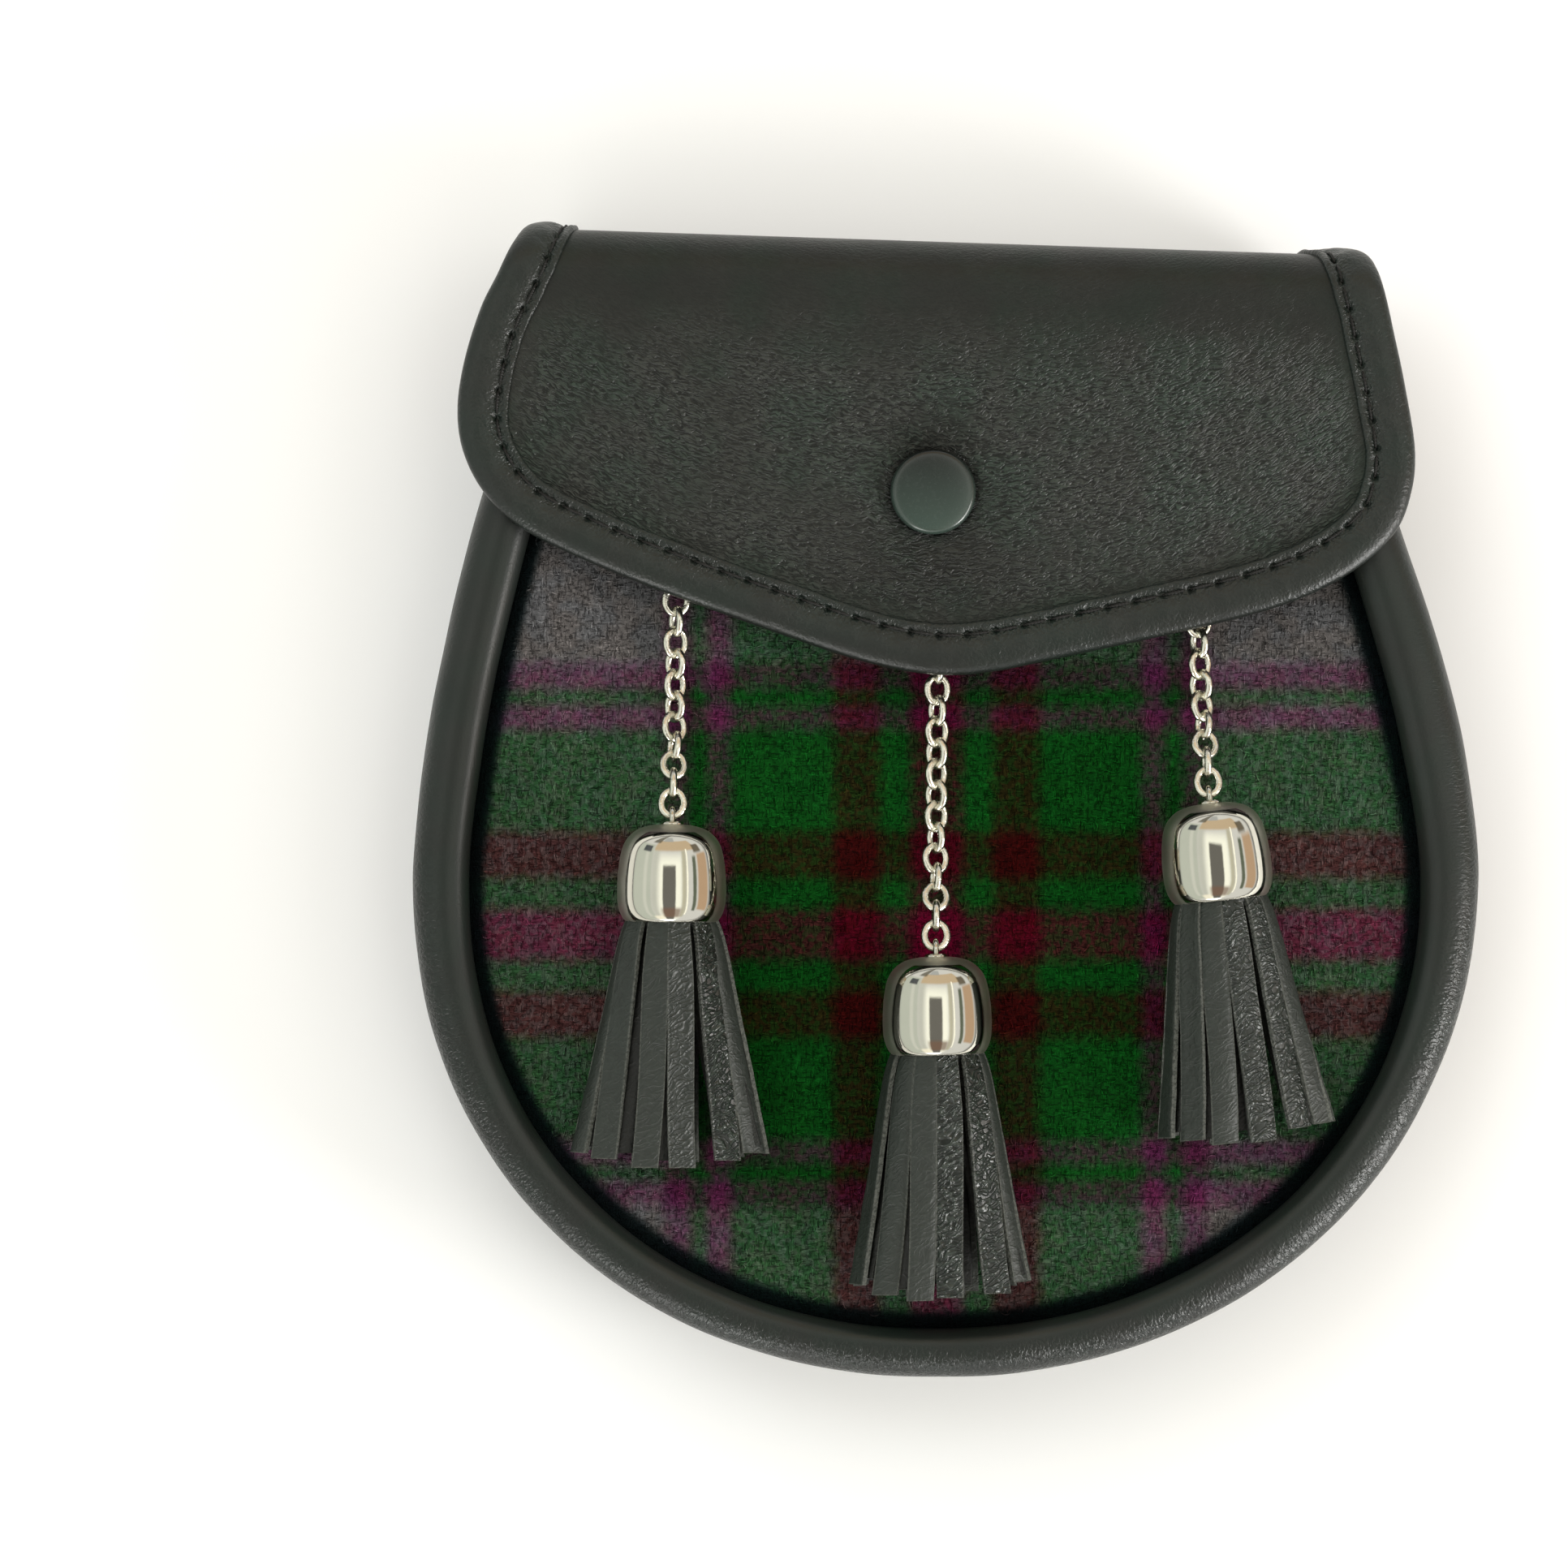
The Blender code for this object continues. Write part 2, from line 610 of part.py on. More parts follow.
def make_bell(tassel, frame):
    """A barrel-shaped bell, bored from its mouth, with a wire eye on its crown."""
    radius, length = BELL_RADIUS, BELL_LENGTH
    profile = [
        (0, 0), (3.2, 0.1), (6.4, 1.2), (8.5, 3.6), (9.35, 7.0), (radius, 11.0), (9.3, 14.8), (8.7, length),
        (BELL_BORE, length), (BELL_BORE, BELL_CROWN), (0, BELL_CROWN),
    ]  # fmt: skip
    bell = add_piece("bell_" + tassel["name"], *turned(profile, 16), nickel(), frame)
    circle = []
    for k in range(12):
        angle = math.tau * k / 12
        circle.append(Vector((0, EYE_STANDS + EYE_RADIUS * math.cos(angle), EYE_RADIUS * math.sin(angle))))
    eye = add_piece("eye_" + tassel["name"], *wire_ring(circle, EYE_WIRE, 6), nickel(), frame)
    fuse(bell, eye)


def strip_section(tassel, number, share):
    """The four corners of a strip's cross-section at this share of its length."""
    angle = math.tau * (number + 0.5) / STRIPS
    direction = Vector((math.cos(angle), math.sin(angle)))
    root = direction * STRIP_ROOT_RADIUS
    reach = tassel["spread"] - STRIP_END_WIDTH / 2
    end = Vector((direction.x * reach, FRINGE_END_Z - BELL_Z + direction.y * FRINGE_END_HALF_HEIGHT))
    at = root.lerp(end, share)
    root_along = Vector((-direction.y, direction.x))
    end_along = Vector((-direction.y * reach, direction.x * FRINGE_END_HALF_HEIGHT)).normalized()
    along = root_along.lerp(end_along, share).normalized()
    out = Vector((along.y, -along.x))
    root_width = math.tau * STRIP_ROOT_RADIUS / STRIPS * 0.8
    half = (root_width + (STRIP_END_WIDTH - root_width) * share) / 2
    down = BELL_LENGTH + (FRINGE_LENGTH - FRINGE_ARC * direction.x**2) * share
    corners = []
    for width, depth in ((-1, 1), (1, 1), (1, -1), (-1, -1)):
        p = at + along * (half * width) + out * (STRIP_THICKNESS / 2 * depth)
        corners.append((p.x, -down, p.y))
    return corners


def make_fringe(tassel, frame):
    """A leather head inside the bell, cut into strips that fan out below it."""
    top = BELL_CROWN + GAP
    points, faces = [], []
    for number in range(STRIPS):
        points += strip_section(tassel, number, 0.0)
    outer = [4 * number + k for number in range(STRIPS) for k in (0, 1)]
    inner = [4 * number + k for number in range(STRIPS) for k in (3, 2)]
    lid = []
    for k in outer:
        x, _, z = points[k]
        lid.append(len(points))
        points.append((x, -top, z))
    rim = len(outer)
    for k in range(rim):
        after = (k + 1) % rim
        faces.append((lid[k], lid[after], outer[after], outer[k]))
        if k % 2:
            faces.append((outer[k], outer[after], inner[after], inner[k]))
    faces.append(tuple(lid))
    faces.append(tuple(inner))
    for number in range(STRIPS):
        ring = [4 * number + k for k in range(4)]
        for share in (0.5, 1.0):
            further = list(range(len(points), len(points) + 4))
            points += strip_section(tassel, number, share)
            for k in range(4):
                after = (k + 1) % 4
                faces.append((ring[k], ring[after], further[after], further[k]))
            ring = further
        faces.append(tuple(ring))
    fringe = add_piece("fringe_" + tassel["name"], points, faces, leather(), frame)
    fuse(fringe, fringe_core(tassel, frame))


def fringe_core(tassel, frame):
    """The strips in the middle of the fringe, as one tapered solid that starts inside its head."""
    reach = tassel["spread"] - STRIP_END_WIDTH / 2 - 2 * CORE_INSET
    tall_end = FRINGE_END_HALF_HEIGHT - CORE_INSET
    ends = (
        (BELL_LENGTH - 1, 0.0, CORE_ROOT_RADIUS, CORE_ROOT_RADIUS),
        (BELL_LENGTH + FRINGE_LENGTH * CORE_SHARE, FRINGE_END_Z - BELL_Z, reach, tall_end),
    )
    rings = []
    for down, centre, wide, tall in ends:
        angles = [math.tau * (k + 0.5) / 8 for k in range(8)]
        rings.append([(wide * math.cos(a), -down, centre + tall * math.sin(a)) for a in angles])
    return add_piece("core_" + tassel["name"], *loft(rings), leather(), frame)


def make_tassels():
    for tassel in TASSELS:
        at, turn = (*tassel["bell_at"], BELL_Z), math.radians(tassel["lean"])
        frame = parent_at("tassel_frame_" + tassel["name"], at, turn)
        make_bell(tassel, frame)
        make_fringe(tassel, frame)
        stations = chain_stations(tassel)
        make_chain(tassel, stations)
        make_anchor(tassel, stations)


clear_scene()
make_pouch()
make_flap_pieces()
make_tassels()
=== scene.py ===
"""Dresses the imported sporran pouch: its cloth, leather, stitching, chains, bells and fringes, and a studio.

+X is to the right across the front, +Y runs up to the fold of the flap, and +Z comes out of the front. Shapes
are worked out in millimetres, in the same way as the solids that they stand for, and put into meshes in metres.
"""

import math
import random

import bmesh
import bpy
import numpy as np
from bpy.props import FloatProperty, FloatVectorProperty, IntProperty, PointerProperty
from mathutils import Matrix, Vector, noise


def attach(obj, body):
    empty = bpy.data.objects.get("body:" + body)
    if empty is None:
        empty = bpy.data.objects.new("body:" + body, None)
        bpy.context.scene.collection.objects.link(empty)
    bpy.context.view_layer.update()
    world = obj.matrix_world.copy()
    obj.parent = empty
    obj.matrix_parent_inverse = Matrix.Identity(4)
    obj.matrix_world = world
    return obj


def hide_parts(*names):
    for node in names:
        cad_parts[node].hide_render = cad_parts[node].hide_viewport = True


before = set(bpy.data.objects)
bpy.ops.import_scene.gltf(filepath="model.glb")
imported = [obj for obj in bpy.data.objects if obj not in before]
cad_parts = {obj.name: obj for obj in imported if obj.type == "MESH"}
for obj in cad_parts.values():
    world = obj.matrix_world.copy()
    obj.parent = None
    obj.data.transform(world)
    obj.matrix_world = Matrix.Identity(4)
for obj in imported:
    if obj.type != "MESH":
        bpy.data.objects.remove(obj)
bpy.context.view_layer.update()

bl_info = {
    "name": "Sporran pouch",
    "version": (1, 0, 0),
    "blender": (4, 5, 0),
    "location": "View3D > Sidebar > Pouch",
    "description": "Builds the cloth, leather, stitching, chains, bells and fringes of a sporran pouch",
    "category": "Object",
}

MM = 0.001
GAP = 0.3  # between two pieces that lie on each other


def screen(red, green, blue):
    """A colour given as it looks on a screen, 0 to 255, in the linear values that Blender works with."""
    return tuple(((v / 255 + 0.055) / 1.055) ** 2.4 if v > 10 else v / 255 / 12.92 for v in (red, green, blue))


# ---------------------------------------------------------------- what a user would change


def colour(name, description, default):
    return FloatVectorProperty(
        name=name, description=description, default=default, subtype="COLOR", size=3, min=0.0, max=1.0
    )


def length(name, description, default, low, high):
    """A length that is kept and shown in millimetres."""
    return FloatProperty(name=name, description=description + ", in mm", default=default, min=low, max=high)


class PouchColours(bpy.types.PropertyGroup):
    crimson: colour("Crimson", "The stripe in the middle of the sett", screen(76, 2, 28))
    red: colour("Red", "The two stripes beside the middle", screen(44, 5, 5))
    green: colour("Green", "The ground of the sett", screen(7, 60, 15))
    purple: colour("Purple", "The pairs of narrow stripes", screen(75, 28, 59))
    grey: colour("Grey", "The broad stripe between repeats", screen(84, 83, 84))
    leather: colour("Leather", "All the leather of the pouch", screen(38, 41, 38))
    cut_leather: colour("Cut edge", "The raw edge of a leather strip", screen(88, 91, 86))
    thread: colour("Thread", "The stitching", screen(24, 24, 23))
    enamel: colour("Enamel", "The cap of the snap", screen(40, 52, 47))
    nickel: colour("Nickel", "The chains and bells", (0.71, 0.695, 0.61))


class PouchSizes(bpy.types.PropertyGroup):
    yarn: length("Yarn", "Width of a yarn of the cloth", 0.7, 0.4, 2.0)
    pile: length("Pile", "Height of the woollen fuzz", 0.22, 0.0, 0.5)
    stitch: length("Stitch", "Distance from one stitch of the binding to the next", 5.0, 3.0, 8.0)
    thread: length("Thread", "Thickness of the thread", 0.55, 0.2, 1.0)
    wire: length("Wire", "Thickness of the wire of a link", 1.3, 0.6, 1.4)
    strip: length("Strip", "Width of a strip of a fringe", 4.7, 3.0, 6.0)
    strips: IntProperty(
        name="Strips", description="Strips in the outer layer of a fringe", default=12, min=6, max=16
    )


class StudioSettings(bpy.types.PropertyGroup):
    floor: colour("Floor", "The pale floor", (0.95, 0.96, 0.98))
    sky: FloatProperty(
        name="Room light", description="Strength of the room's light", default=1.08, min=0.0, max=4.0
    )
    lamp: FloatProperty(
        name="Lamp", description="Power of the key lamp", default=6.0, min=0.0, max=100.0,
        subtype="POWER", unit="POWER",
    )  # fmt: skip
    height: FloatProperty(
        name="Camera height", description="Height of the camera", default=1.035, min=0.3, max=3.0,
        unit="LENGTH",
    )  # fmt: skip


# ---------------------------------------------------------------- materials


class Wire:
    """A socket of a material. Arithmetic on it adds Math nodes."""

    def __init__(self, graph, socket):
        self.graph, self.socket = graph, socket

    def calc(self, operation, *values):
        return self.graph.node("ShaderNodeMath", {"operation": operation}, dict(enumerate((self, *values))))

    def __add__(self, other):
        return self.calc("ADD", other)

    __radd__ = __add__

    def __sub__(self, other):
        return self.calc("SUBTRACT", other)

    def __rsub__(self, other):
        return self.graph.node("ShaderNodeMath", {"operation": "SUBTRACT"}, {0: other, 1: self})

    def __mul__(self, other):
        return self.calc("MULTIPLY", other)

    __rmul__ = __mul__

    def __truediv__(self, other):
        return self.calc("DIVIDE", other)

    def __pow__(self, other):
        return self.calc("POWER", other)

    def __abs__(self):
        return self.calc("ABSOLUTE")

    def ramp(self, low, high):
        """0 up to low, 1 from high on, and a smooth step between them."""
        inputs = {"Value": self, "From Min": low, "From Max": high}
        return self.graph.node("ShaderNodeMapRange", {"interpolation_type": "SMOOTHSTEP"}, inputs)


class Graph:
    """A node tree that is being built."""

    def __init__(self, tree, flat=False):
        self.tree, self.dimensions = tree, "2D" if flat else "3D"

    def node(self, kind, settings=(), inputs=(), output=0):
        """Adds a node, with its settings first, then the value or link of each socket."""
        made = self.tree.nodes.new(kind)
        for name, value in dict(settings).items():
            if name == "stops":
                set_stops(made.color_ramp, value)
            else:
                setattr(made, name, value)
        for name, value in dict(inputs).items():
            if isinstance(value, Wire):
                self.tree.links.new(value.socket, made.inputs[name])
            else:
                made.inputs[name].default_value = value
        return Wire(self, made.outputs[output])

    def mix(self, share, first, second, blend="MIX"):
        """A colour between two others, or made of both."""
        inputs = {0: share, 6: solid(first), 7: solid(second)}
        return self.node("ShaderNodeMix", {"data_type": "RGBA", "blend_type": blend}, inputs, 2)

    def shade(self, first, amount):
        """A colour made lighter or darker by a number."""
        grey = self.node("ShaderNodeCombineColor", (), {"Red": amount, "Green": amount, "Blue": amount})
        return self.mix(1.0, first, grey, "MULTIPLY")

    def place(self):
        """The point on the object, in millimetres, as a vector."""
        where = self.node("ShaderNodeTexCoord", output="Object")
        return self.node("ShaderNodeVectorMath", {"operation": "SCALE"}, {0: where, "Scale": 1 / MM})

    def parts(self, vector):
        split = self.node("ShaderNodeSeparateXYZ", (), {0: vector})
        return [Wire(self, out) for out in split.socket.node.outputs]

    def stretched(self, vector, turn, scale):
        """A vector turned about Z and scaled, so that a texture runs in one direction."""
        inputs = {"Vector": vector, "Rotation": (0.0, 0.0, math.radians(turn)), "Scale": scale}
        return self.node("ShaderNodeMapping", {"vector_type": "TEXTURE"}, inputs)

    def grain(self, vector, size, detail=2.0, rough=0.5, bent=0.0):
        """Noise with features of this size in millimetres."""
        inputs = {"Vector": vector, "Scale": 1 / size, "Detail": detail, "Roughness": rough, "Distortion": bent}
        return self.node("ShaderNodeTexNoise", {"noise_dimensions": self.dimensions}, inputs)

    def veins(self, vector, size, thin, detail=1.0, bent=0.6):
        """1 along wandering lines, about this far apart and thinner with a larger thin, and 0 between them."""
        return (1 - abs(self.grain(vector, size, detail, 0.5, bent) - 0.5) * thin).calc("MAXIMUM", 0.0)

    def warp(self, vector, size, reach):
        """A vector that wanders by up to about half of reach, over this size."""
        inputs = {"Vector": vector, "Scale": 1 / size, "Detail": 2.0}
        wander = self.node("ShaderNodeTexNoise", {"noise_dimensions": self.dimensions}, inputs, 1)
        level = self.node("ShaderNodeVectorMath", {"operation": "SUBTRACT"}, {0: wander, 1: (0.5, 0.5, 0.5)})
        moved = self.node("ShaderNodeVectorMath", {"operation": "SCALE"}, {0: level, "Scale": reach})
        return self.node("ShaderNodeVectorMath", {"operation": "ADD"}, {0: vector, 1: moved})

    def mark(self, name):
        """A number that the mesh keeps for each point."""
        return self.node("ShaderNodeAttribute", {"attribute_name": name}, output="Fac")

    def bump(self, height, depth):
        """A normal from a height of 0 to 1 that stands for depth millimetres."""
        return self.node("ShaderNodeBump", (), {"Height": height, "Strength": 1.0, "Distance": depth * MM})


def set_stops(ramp, stops):
    """The places and colours of a colour ramp."""
    while len(ramp.elements) > 1:
        ramp.elements.remove(ramp.elements[-1])
    for k, (at, tint) in enumerate(stops):
        element = ramp.elements[0] if k == 0 else ramp.elements.new(at)
        element.position = at
        element.color = (*tint, 1.0)


def solid(tint):
    return tint if isinstance(tint, Wire) or len(tint) == 4 else (*tint, 1.0)


def surface(name, varied, fixed=(), flat=False):
    """A material with its varied sockets linked and its fixed ones set on the shader itself."""
    made = bpy.data.materials.new(name)
    made.use_nodes = True
    graph = Graph(made.node_tree, flat)
    shader = made.node_tree.nodes["Principled BSDF"]
    for socket, value in dict(fixed).items():
        shader.inputs[socket].default_value = value
    for socket, value in varied(graph).items():
        made.node_tree.links.new(value.socket, shader.inputs[socket])
    return made


def bands(stripes, last, soft):
    """Ramp stops for stripes that meet softly, each given as (its end in mm, its colour)."""
    stops = [(0.0, stripes[0][1])]
    for (end, tint), (_, after) in zip(stripes, stripes[1:]):
        stops += [((end - soft) / last, tint), ((end + soft) / last, after)]
    return stops


SETT_CENTRE = (-1.43, -24.0)
SETT_REACH = 80.0  # how far from the centre the ramp of stripes runs
SETT_SOFT = 1.3  # half the width over which two stripes blend
GAMMA = 2.2
UNDER_RIM = (0.045, 0.075, 0.08)  # the deep shade under the rim, before the gamma is taken off
WARM_WOOL, COOL_WOOL = (1.04, 0.99, 0.96), (0.97, 1.01, 1.05)


def tartan_wool(name, colours, sizes):
    """A checked wool: the same stripes across and along, woven closely and brushed.

    The yarns that cross mix as the eye sees them, so the stripes are mixed before the gamma is taken off.
    """
    stripes = [
        (4.5, colours.crimson), (10.0, colours.green), (18.2, colours.red), (36.3, colours.green),
        (40.7, colours.purple), (43.4, colours.green), (48.0, colours.purple), (SETT_REACH, colours.grey),
    ]  # fmt: skip
    seen = [(end, tuple(v ** (1 / GAMMA) for v in tint)) for end, tint in stripes]
    stops = bands(seen, SETT_REACH, SETT_SOFT)
    yarn = sizes.yarn

    def laid(g, place, turn, length):
        """The place, drawn out so that a texture lies in one direction of the weave."""
        return g.stretched(place, turn, (length * yarn, 0.62 * yarn, yarn))

    def hairs(g, place, turn):
        """Slightly wavy hairs that lie in one direction, with painted light on them."""
        return g.veins(laid(g, place, turn, 3.2), 1.0, 10.0, bent=0.15)

    def gaps(g, place, turn):
        """0 in the short gaps between yarns of one direction, and 1 elsewhere. The gaps are painted dark, as
        painted shade.
        """
        return g.grain(laid(g, place, turn, 2.1), 1.0, 1.0, 0.5, 0.1).ramp(0.27, 0.41)

    def varied(g):
        place = g.place()
        x, y, _ = g.parts(g.warp(place, 2.0, 2.2))
        warp = abs(x - SETT_CENTRE[0]) / SETT_REACH
        weft = abs(y - SETT_CENTRE[1]) / SETT_REACH
        warp, weft = (g.node("ShaderNodeValToRGB", {"stops": stops}, {0: at}) for at in (warp, weft))
        over = g.grain(place, 1.4, 1.0).ramp(0.44, 0.56)
        lengthwise, crosswise = hairs(g, place, 90.0), hairs(g, place, 0.0)
        nap = lengthwise * over + crosswise * (1 - over)
        fuzz = g.grain(place, 0.8, 3.0, 0.6)
        pits = gaps(g, place, 0.0) * gaps(g, place, 90.0)
        patches = g.grain(place, 7.0, 3.0, 0.6)
        tint = g.mix(over * 0.2 + 0.40, weft, warp)
        # Painted light on the hairs (nap, and lift on the loose fibres) and painted shade in the gaps between
        # yarns (pits), with random fuzz and patches
        amount = 0.71 + nap * 0.30 + pits * 0.29 + (fuzz - 0.5) * 0.4 + (patches - 0.5) * 0.3 + g.mark("lift")
        # Painted shade under the rim: the cloth turns towards UNDER_RIM where its mesh is marked edge
        tint = g.mix(g.mark("edge") * 0.92, g.shade(tint, amount), UNDER_RIM)
        tint = g.node("ShaderNodeGamma", (), {"Color": tint, "Gamma": GAMMA})
        hue = g.grain(place, 5.0, 2.0).ramp(0.36, 0.66)
        tint = g.mix(1.0, tint, g.mix(hue, WARM_WOOL, COOL_WOOL), "MULTIPLY")
        return {"Base Color": tint, "Normal": g.bump(nap * 0.4 + fuzz * 0.5 + pits * 0.8, 0.3)}

    return surface(name, varied, {"Roughness": 1.0, "Specular IOR Level": 0.06}, flat=True)


HIDE_SHADES = (0.94, 1.03, 1.03), (0.82, 1.08, 1.02)  # the two hues that leather drifts between
FLAP_SHADES = (1.02, 1.0, 1.0), (0.84, 1.08, 0.96)
STRIP_SHADE = (0.9, 1.04, 0.97)
PAINTED_SHADE_DARKNESS = 0.8  # how much darker the colour is painted, as painted shade, where a mesh is marked for it


def leather(name, tint, gloss, rough, tone=1.0, wrinkle=None, shades=HIDE_SHADES):
    """Dyed leather with fine pores, worn in places, with short wavy ripples as strong as its mesh is marked, and
    painted shade where its mesh is marked for it.

    wrinkle gives the ripples' course, the size of one, how much lighter its crest is painted, as painted
    highlight on the crests and painted shade between them, and how high it stands.
    """

    def varied(g):
        place = g.place()
        worn = g.grain(place, 12.0, 3.0, 0.6)
        height = g.grain(place, 0.42, 2.0, 0.6) * 0.5
        light = 0.72 + height * 0.56 + (worn - 0.5) * 0.6
        depth = 0.14
        if wrinkle:
            course, size, painted_crest_light, depth = wrinkle
            waves = g.grain(g.stretched(course(g, place), 0.0, size), 1.0, 1.0, 0.5, 0.5).ramp(0.32, 0.68)
            strong = g.mark("bent") * (worn.ramp(0.3, 0.6) * 0.45 + 0.55)
            height = height * 0.4 + waves * strong
            # Painted highlight on the ripples' crests and painted shade between them
            light = light + (waves - 0.45) * strong * painted_crest_light
        # Painted shade, as deep as the mesh is marked for it
        light = light * (1 - g.mark("deep") * PAINTED_SHADE_DARKNESS) * tone
        hue = g.grain(place, 11.0, 2.0).ramp(0.36, 0.66)
        base = g.mix(1.0, g.shade(tint, light), g.mix(hue, *shades), "MULTIPLY")
        roughness = rough + (0.5 - worn) * 0.2 - (height - 0.4) * 0.1
        return {"Base Color": base, "Roughness": roughness, "Normal": g.bump(height, depth)}

    return surface(name, varied, {"Specular IOR Level": gloss})


RIPPLES_TURN_AT, RIPPLES_SLOPE = 1.0, 0.0039  # where the ripples are level, and how much steeper they get aside


def from_snap(g, place):
    """The flap's ripples slope down to its middle from its left and from its right."""
    x, y, z = g.parts(place)
    sloped = y - (x + RIPPLES_TURN_AT) ** 2.0 * RIPPLES_SLOPE
    course = g.node("ShaderNodeCombineXYZ", (), {0: x, 1: sloped, 2: z})
    return g.warp(course, 2.2, 1.7)


def round_roll(g, place):
    """Ripples across a roll or a binding."""
    course = g.node("ShaderNodeCombineXYZ", (), {0: g.mark("along"), 1: g.mark("across")})
    return g.warp(course, 1.8, 0.9)


FLAP_RIPPLES = from_snap, (1.25, 0.36, 0.9), 1.45, 0.28
ROLL_RIPPLES = round_roll, (0.55, 0.95, 1.0), 0.6, 0.17


def strip_leather(name, colours):
    """Strips of leather, smooth or crinkled by their mark, with a raw edge, painted highlight on the crinkles
    and painted shade where the mesh is marked for it.
    """

    def varied(g):
        place = g.place()
        crinkle, cut = g.mark("crinkle"), g.mark("cut")
        # Painted shade on the inner strips and the head
        lit = 1 - PAINTED_SHADE_DARKNESS * g.mark("deep")
        bent = g.warp(place, 6.0, 3.6)
        veins = g.veins(g.stretched(bent, 34.0, (2.3, 0.8, 1.6)), 1.0, 7.0, 0.0, 0.25)
        cross = g.veins(g.stretched(bent, -28.0, (1.9, 1.0, 1.6)), 1.0, 10.0, 0.0, 0.25)
        wrinkled = (veins + cross * 0.5) * crinkle
        nap = g.grain(g.stretched(place, 0.0, (0.5, 2.4, 0.5)), 1.0, 3.0, 0.6)
        faint = g.veins(bent, 3.0, 7.0) * (1 - crinkle)
        height = wrinkled + faint * 0.12 + nap * 0.2 * (1 - crinkle * 0.7)
        height = height + g.grain(place, 0.3, 2.0) * cut * 0.5
        # The crinkles' ridges are painted lighter, as painted highlight
        light = (0.88 + (nap - 0.5) * 0.4 + faint * 0.2 + crinkle * (wrinkled * 1.4 - 0.44)) * lit
        bare = cut * (0.3 + 0.6 * g.grain(place, 0.5, 2.0).ramp(0.35, 0.6)) * lit
        dyed = g.mix(1.0, g.shade(colours.leather, light), STRIP_SHADE, "MULTIPLY")
        base = g.mix(bare, dyed, colours.cut_leather)
        roughness = 0.56 - crinkle * 0.3 + cut * 0.3
        return {"Base Color": base, "Roughness": roughness, "Normal": g.bump(height, 0.42)}

    return surface(name, varied, {"Specular IOR Level": 0.42})


def metal(name, tint, rough, scuff, uneven=0.012):
    """Plated metal with a faint drift in its colour and fine scuffs, duller where its mesh is marked satin."""

    def varied(g):
        place = g.place()
        dull = g.grain(place, 6.0, 4.0, 0.6)
        scratched = g.grain(g.stretched(place, 30.0, (4.0, 0.4, 1.0)), 0.6, 2.0)
        satin = g.mark("satin")
        base = g.shade(tint, (0.94 + dull * 0.12) * (1 + 0.07 * satin))
        roughness = rough + dull.ramp(0.4, 0.8) * scuff + scratched.ramp(0.55, 0.8) * scuff * 0.5
        roughness = roughness + satin * 0.36
        normal = g.bump(g.grain(place, 1.1, 3.0, 0.6), uneven)
        return {"Base Color": base, "Roughness": roughness, "Normal": normal}

    return surface(name, varied, {"Metallic": 1.0})


def enamel(name, tint):
    """Baked enamel on the cap: glossy and slightly dusty, with painted shade towards its top and painted light
    towards its bottom.
    """

    def varied(g):
        place = g.place()
        dust = g.grain(place, 0.8, 4.0, 0.7)
        _, y, _ = g.parts(place)
        # Painted shade above the cap's middle at SNAP_LEVEL and painted light below it
        low = (y - SNAP_LEVEL) / SNAP_RADIUS
        base = g.shade(tint, 0.88 + g.grain(place, 7.0, 2.0) * 0.2 - low * 0.95)
        roughness = 0.26 + dust.ramp(0.5, 0.9) * 0.2
        return {"Base Color": base, "Roughness": roughness, "Normal": g.bump(dust, 0.008)}

    return surface(name, varied, {"Specular IOR Level": 0.6})


def twisted_thread(name, tint):
    """Waxed thread of twisted plies, with painted light on each ply and painted shade between them."""

    def varied(g):
        place = g.place()
        x, y, z = g.parts(place)
        ply = ((x + y * 1.3 + z * 0.7) * 9.0).calc("SINE") * 0.5 + 0.5
        # Painted light on the plies and painted shade between them
        base = g.shade(tint, 0.7 + ply * 0.7)
        return {"Base Color": base, "Roughness": 0.5 + ply * 0.2, "Normal": g.bump(ply, 0.08)}

    return surface(name, varied, {"Specular IOR Level": 0.3})


def look(make, name, *settings):
    """A material by its name, made when it is first asked for."""
    return bpy.data.materials.get(name) or make(name, *settings)


# ---------------------------------------------------------------- meshes


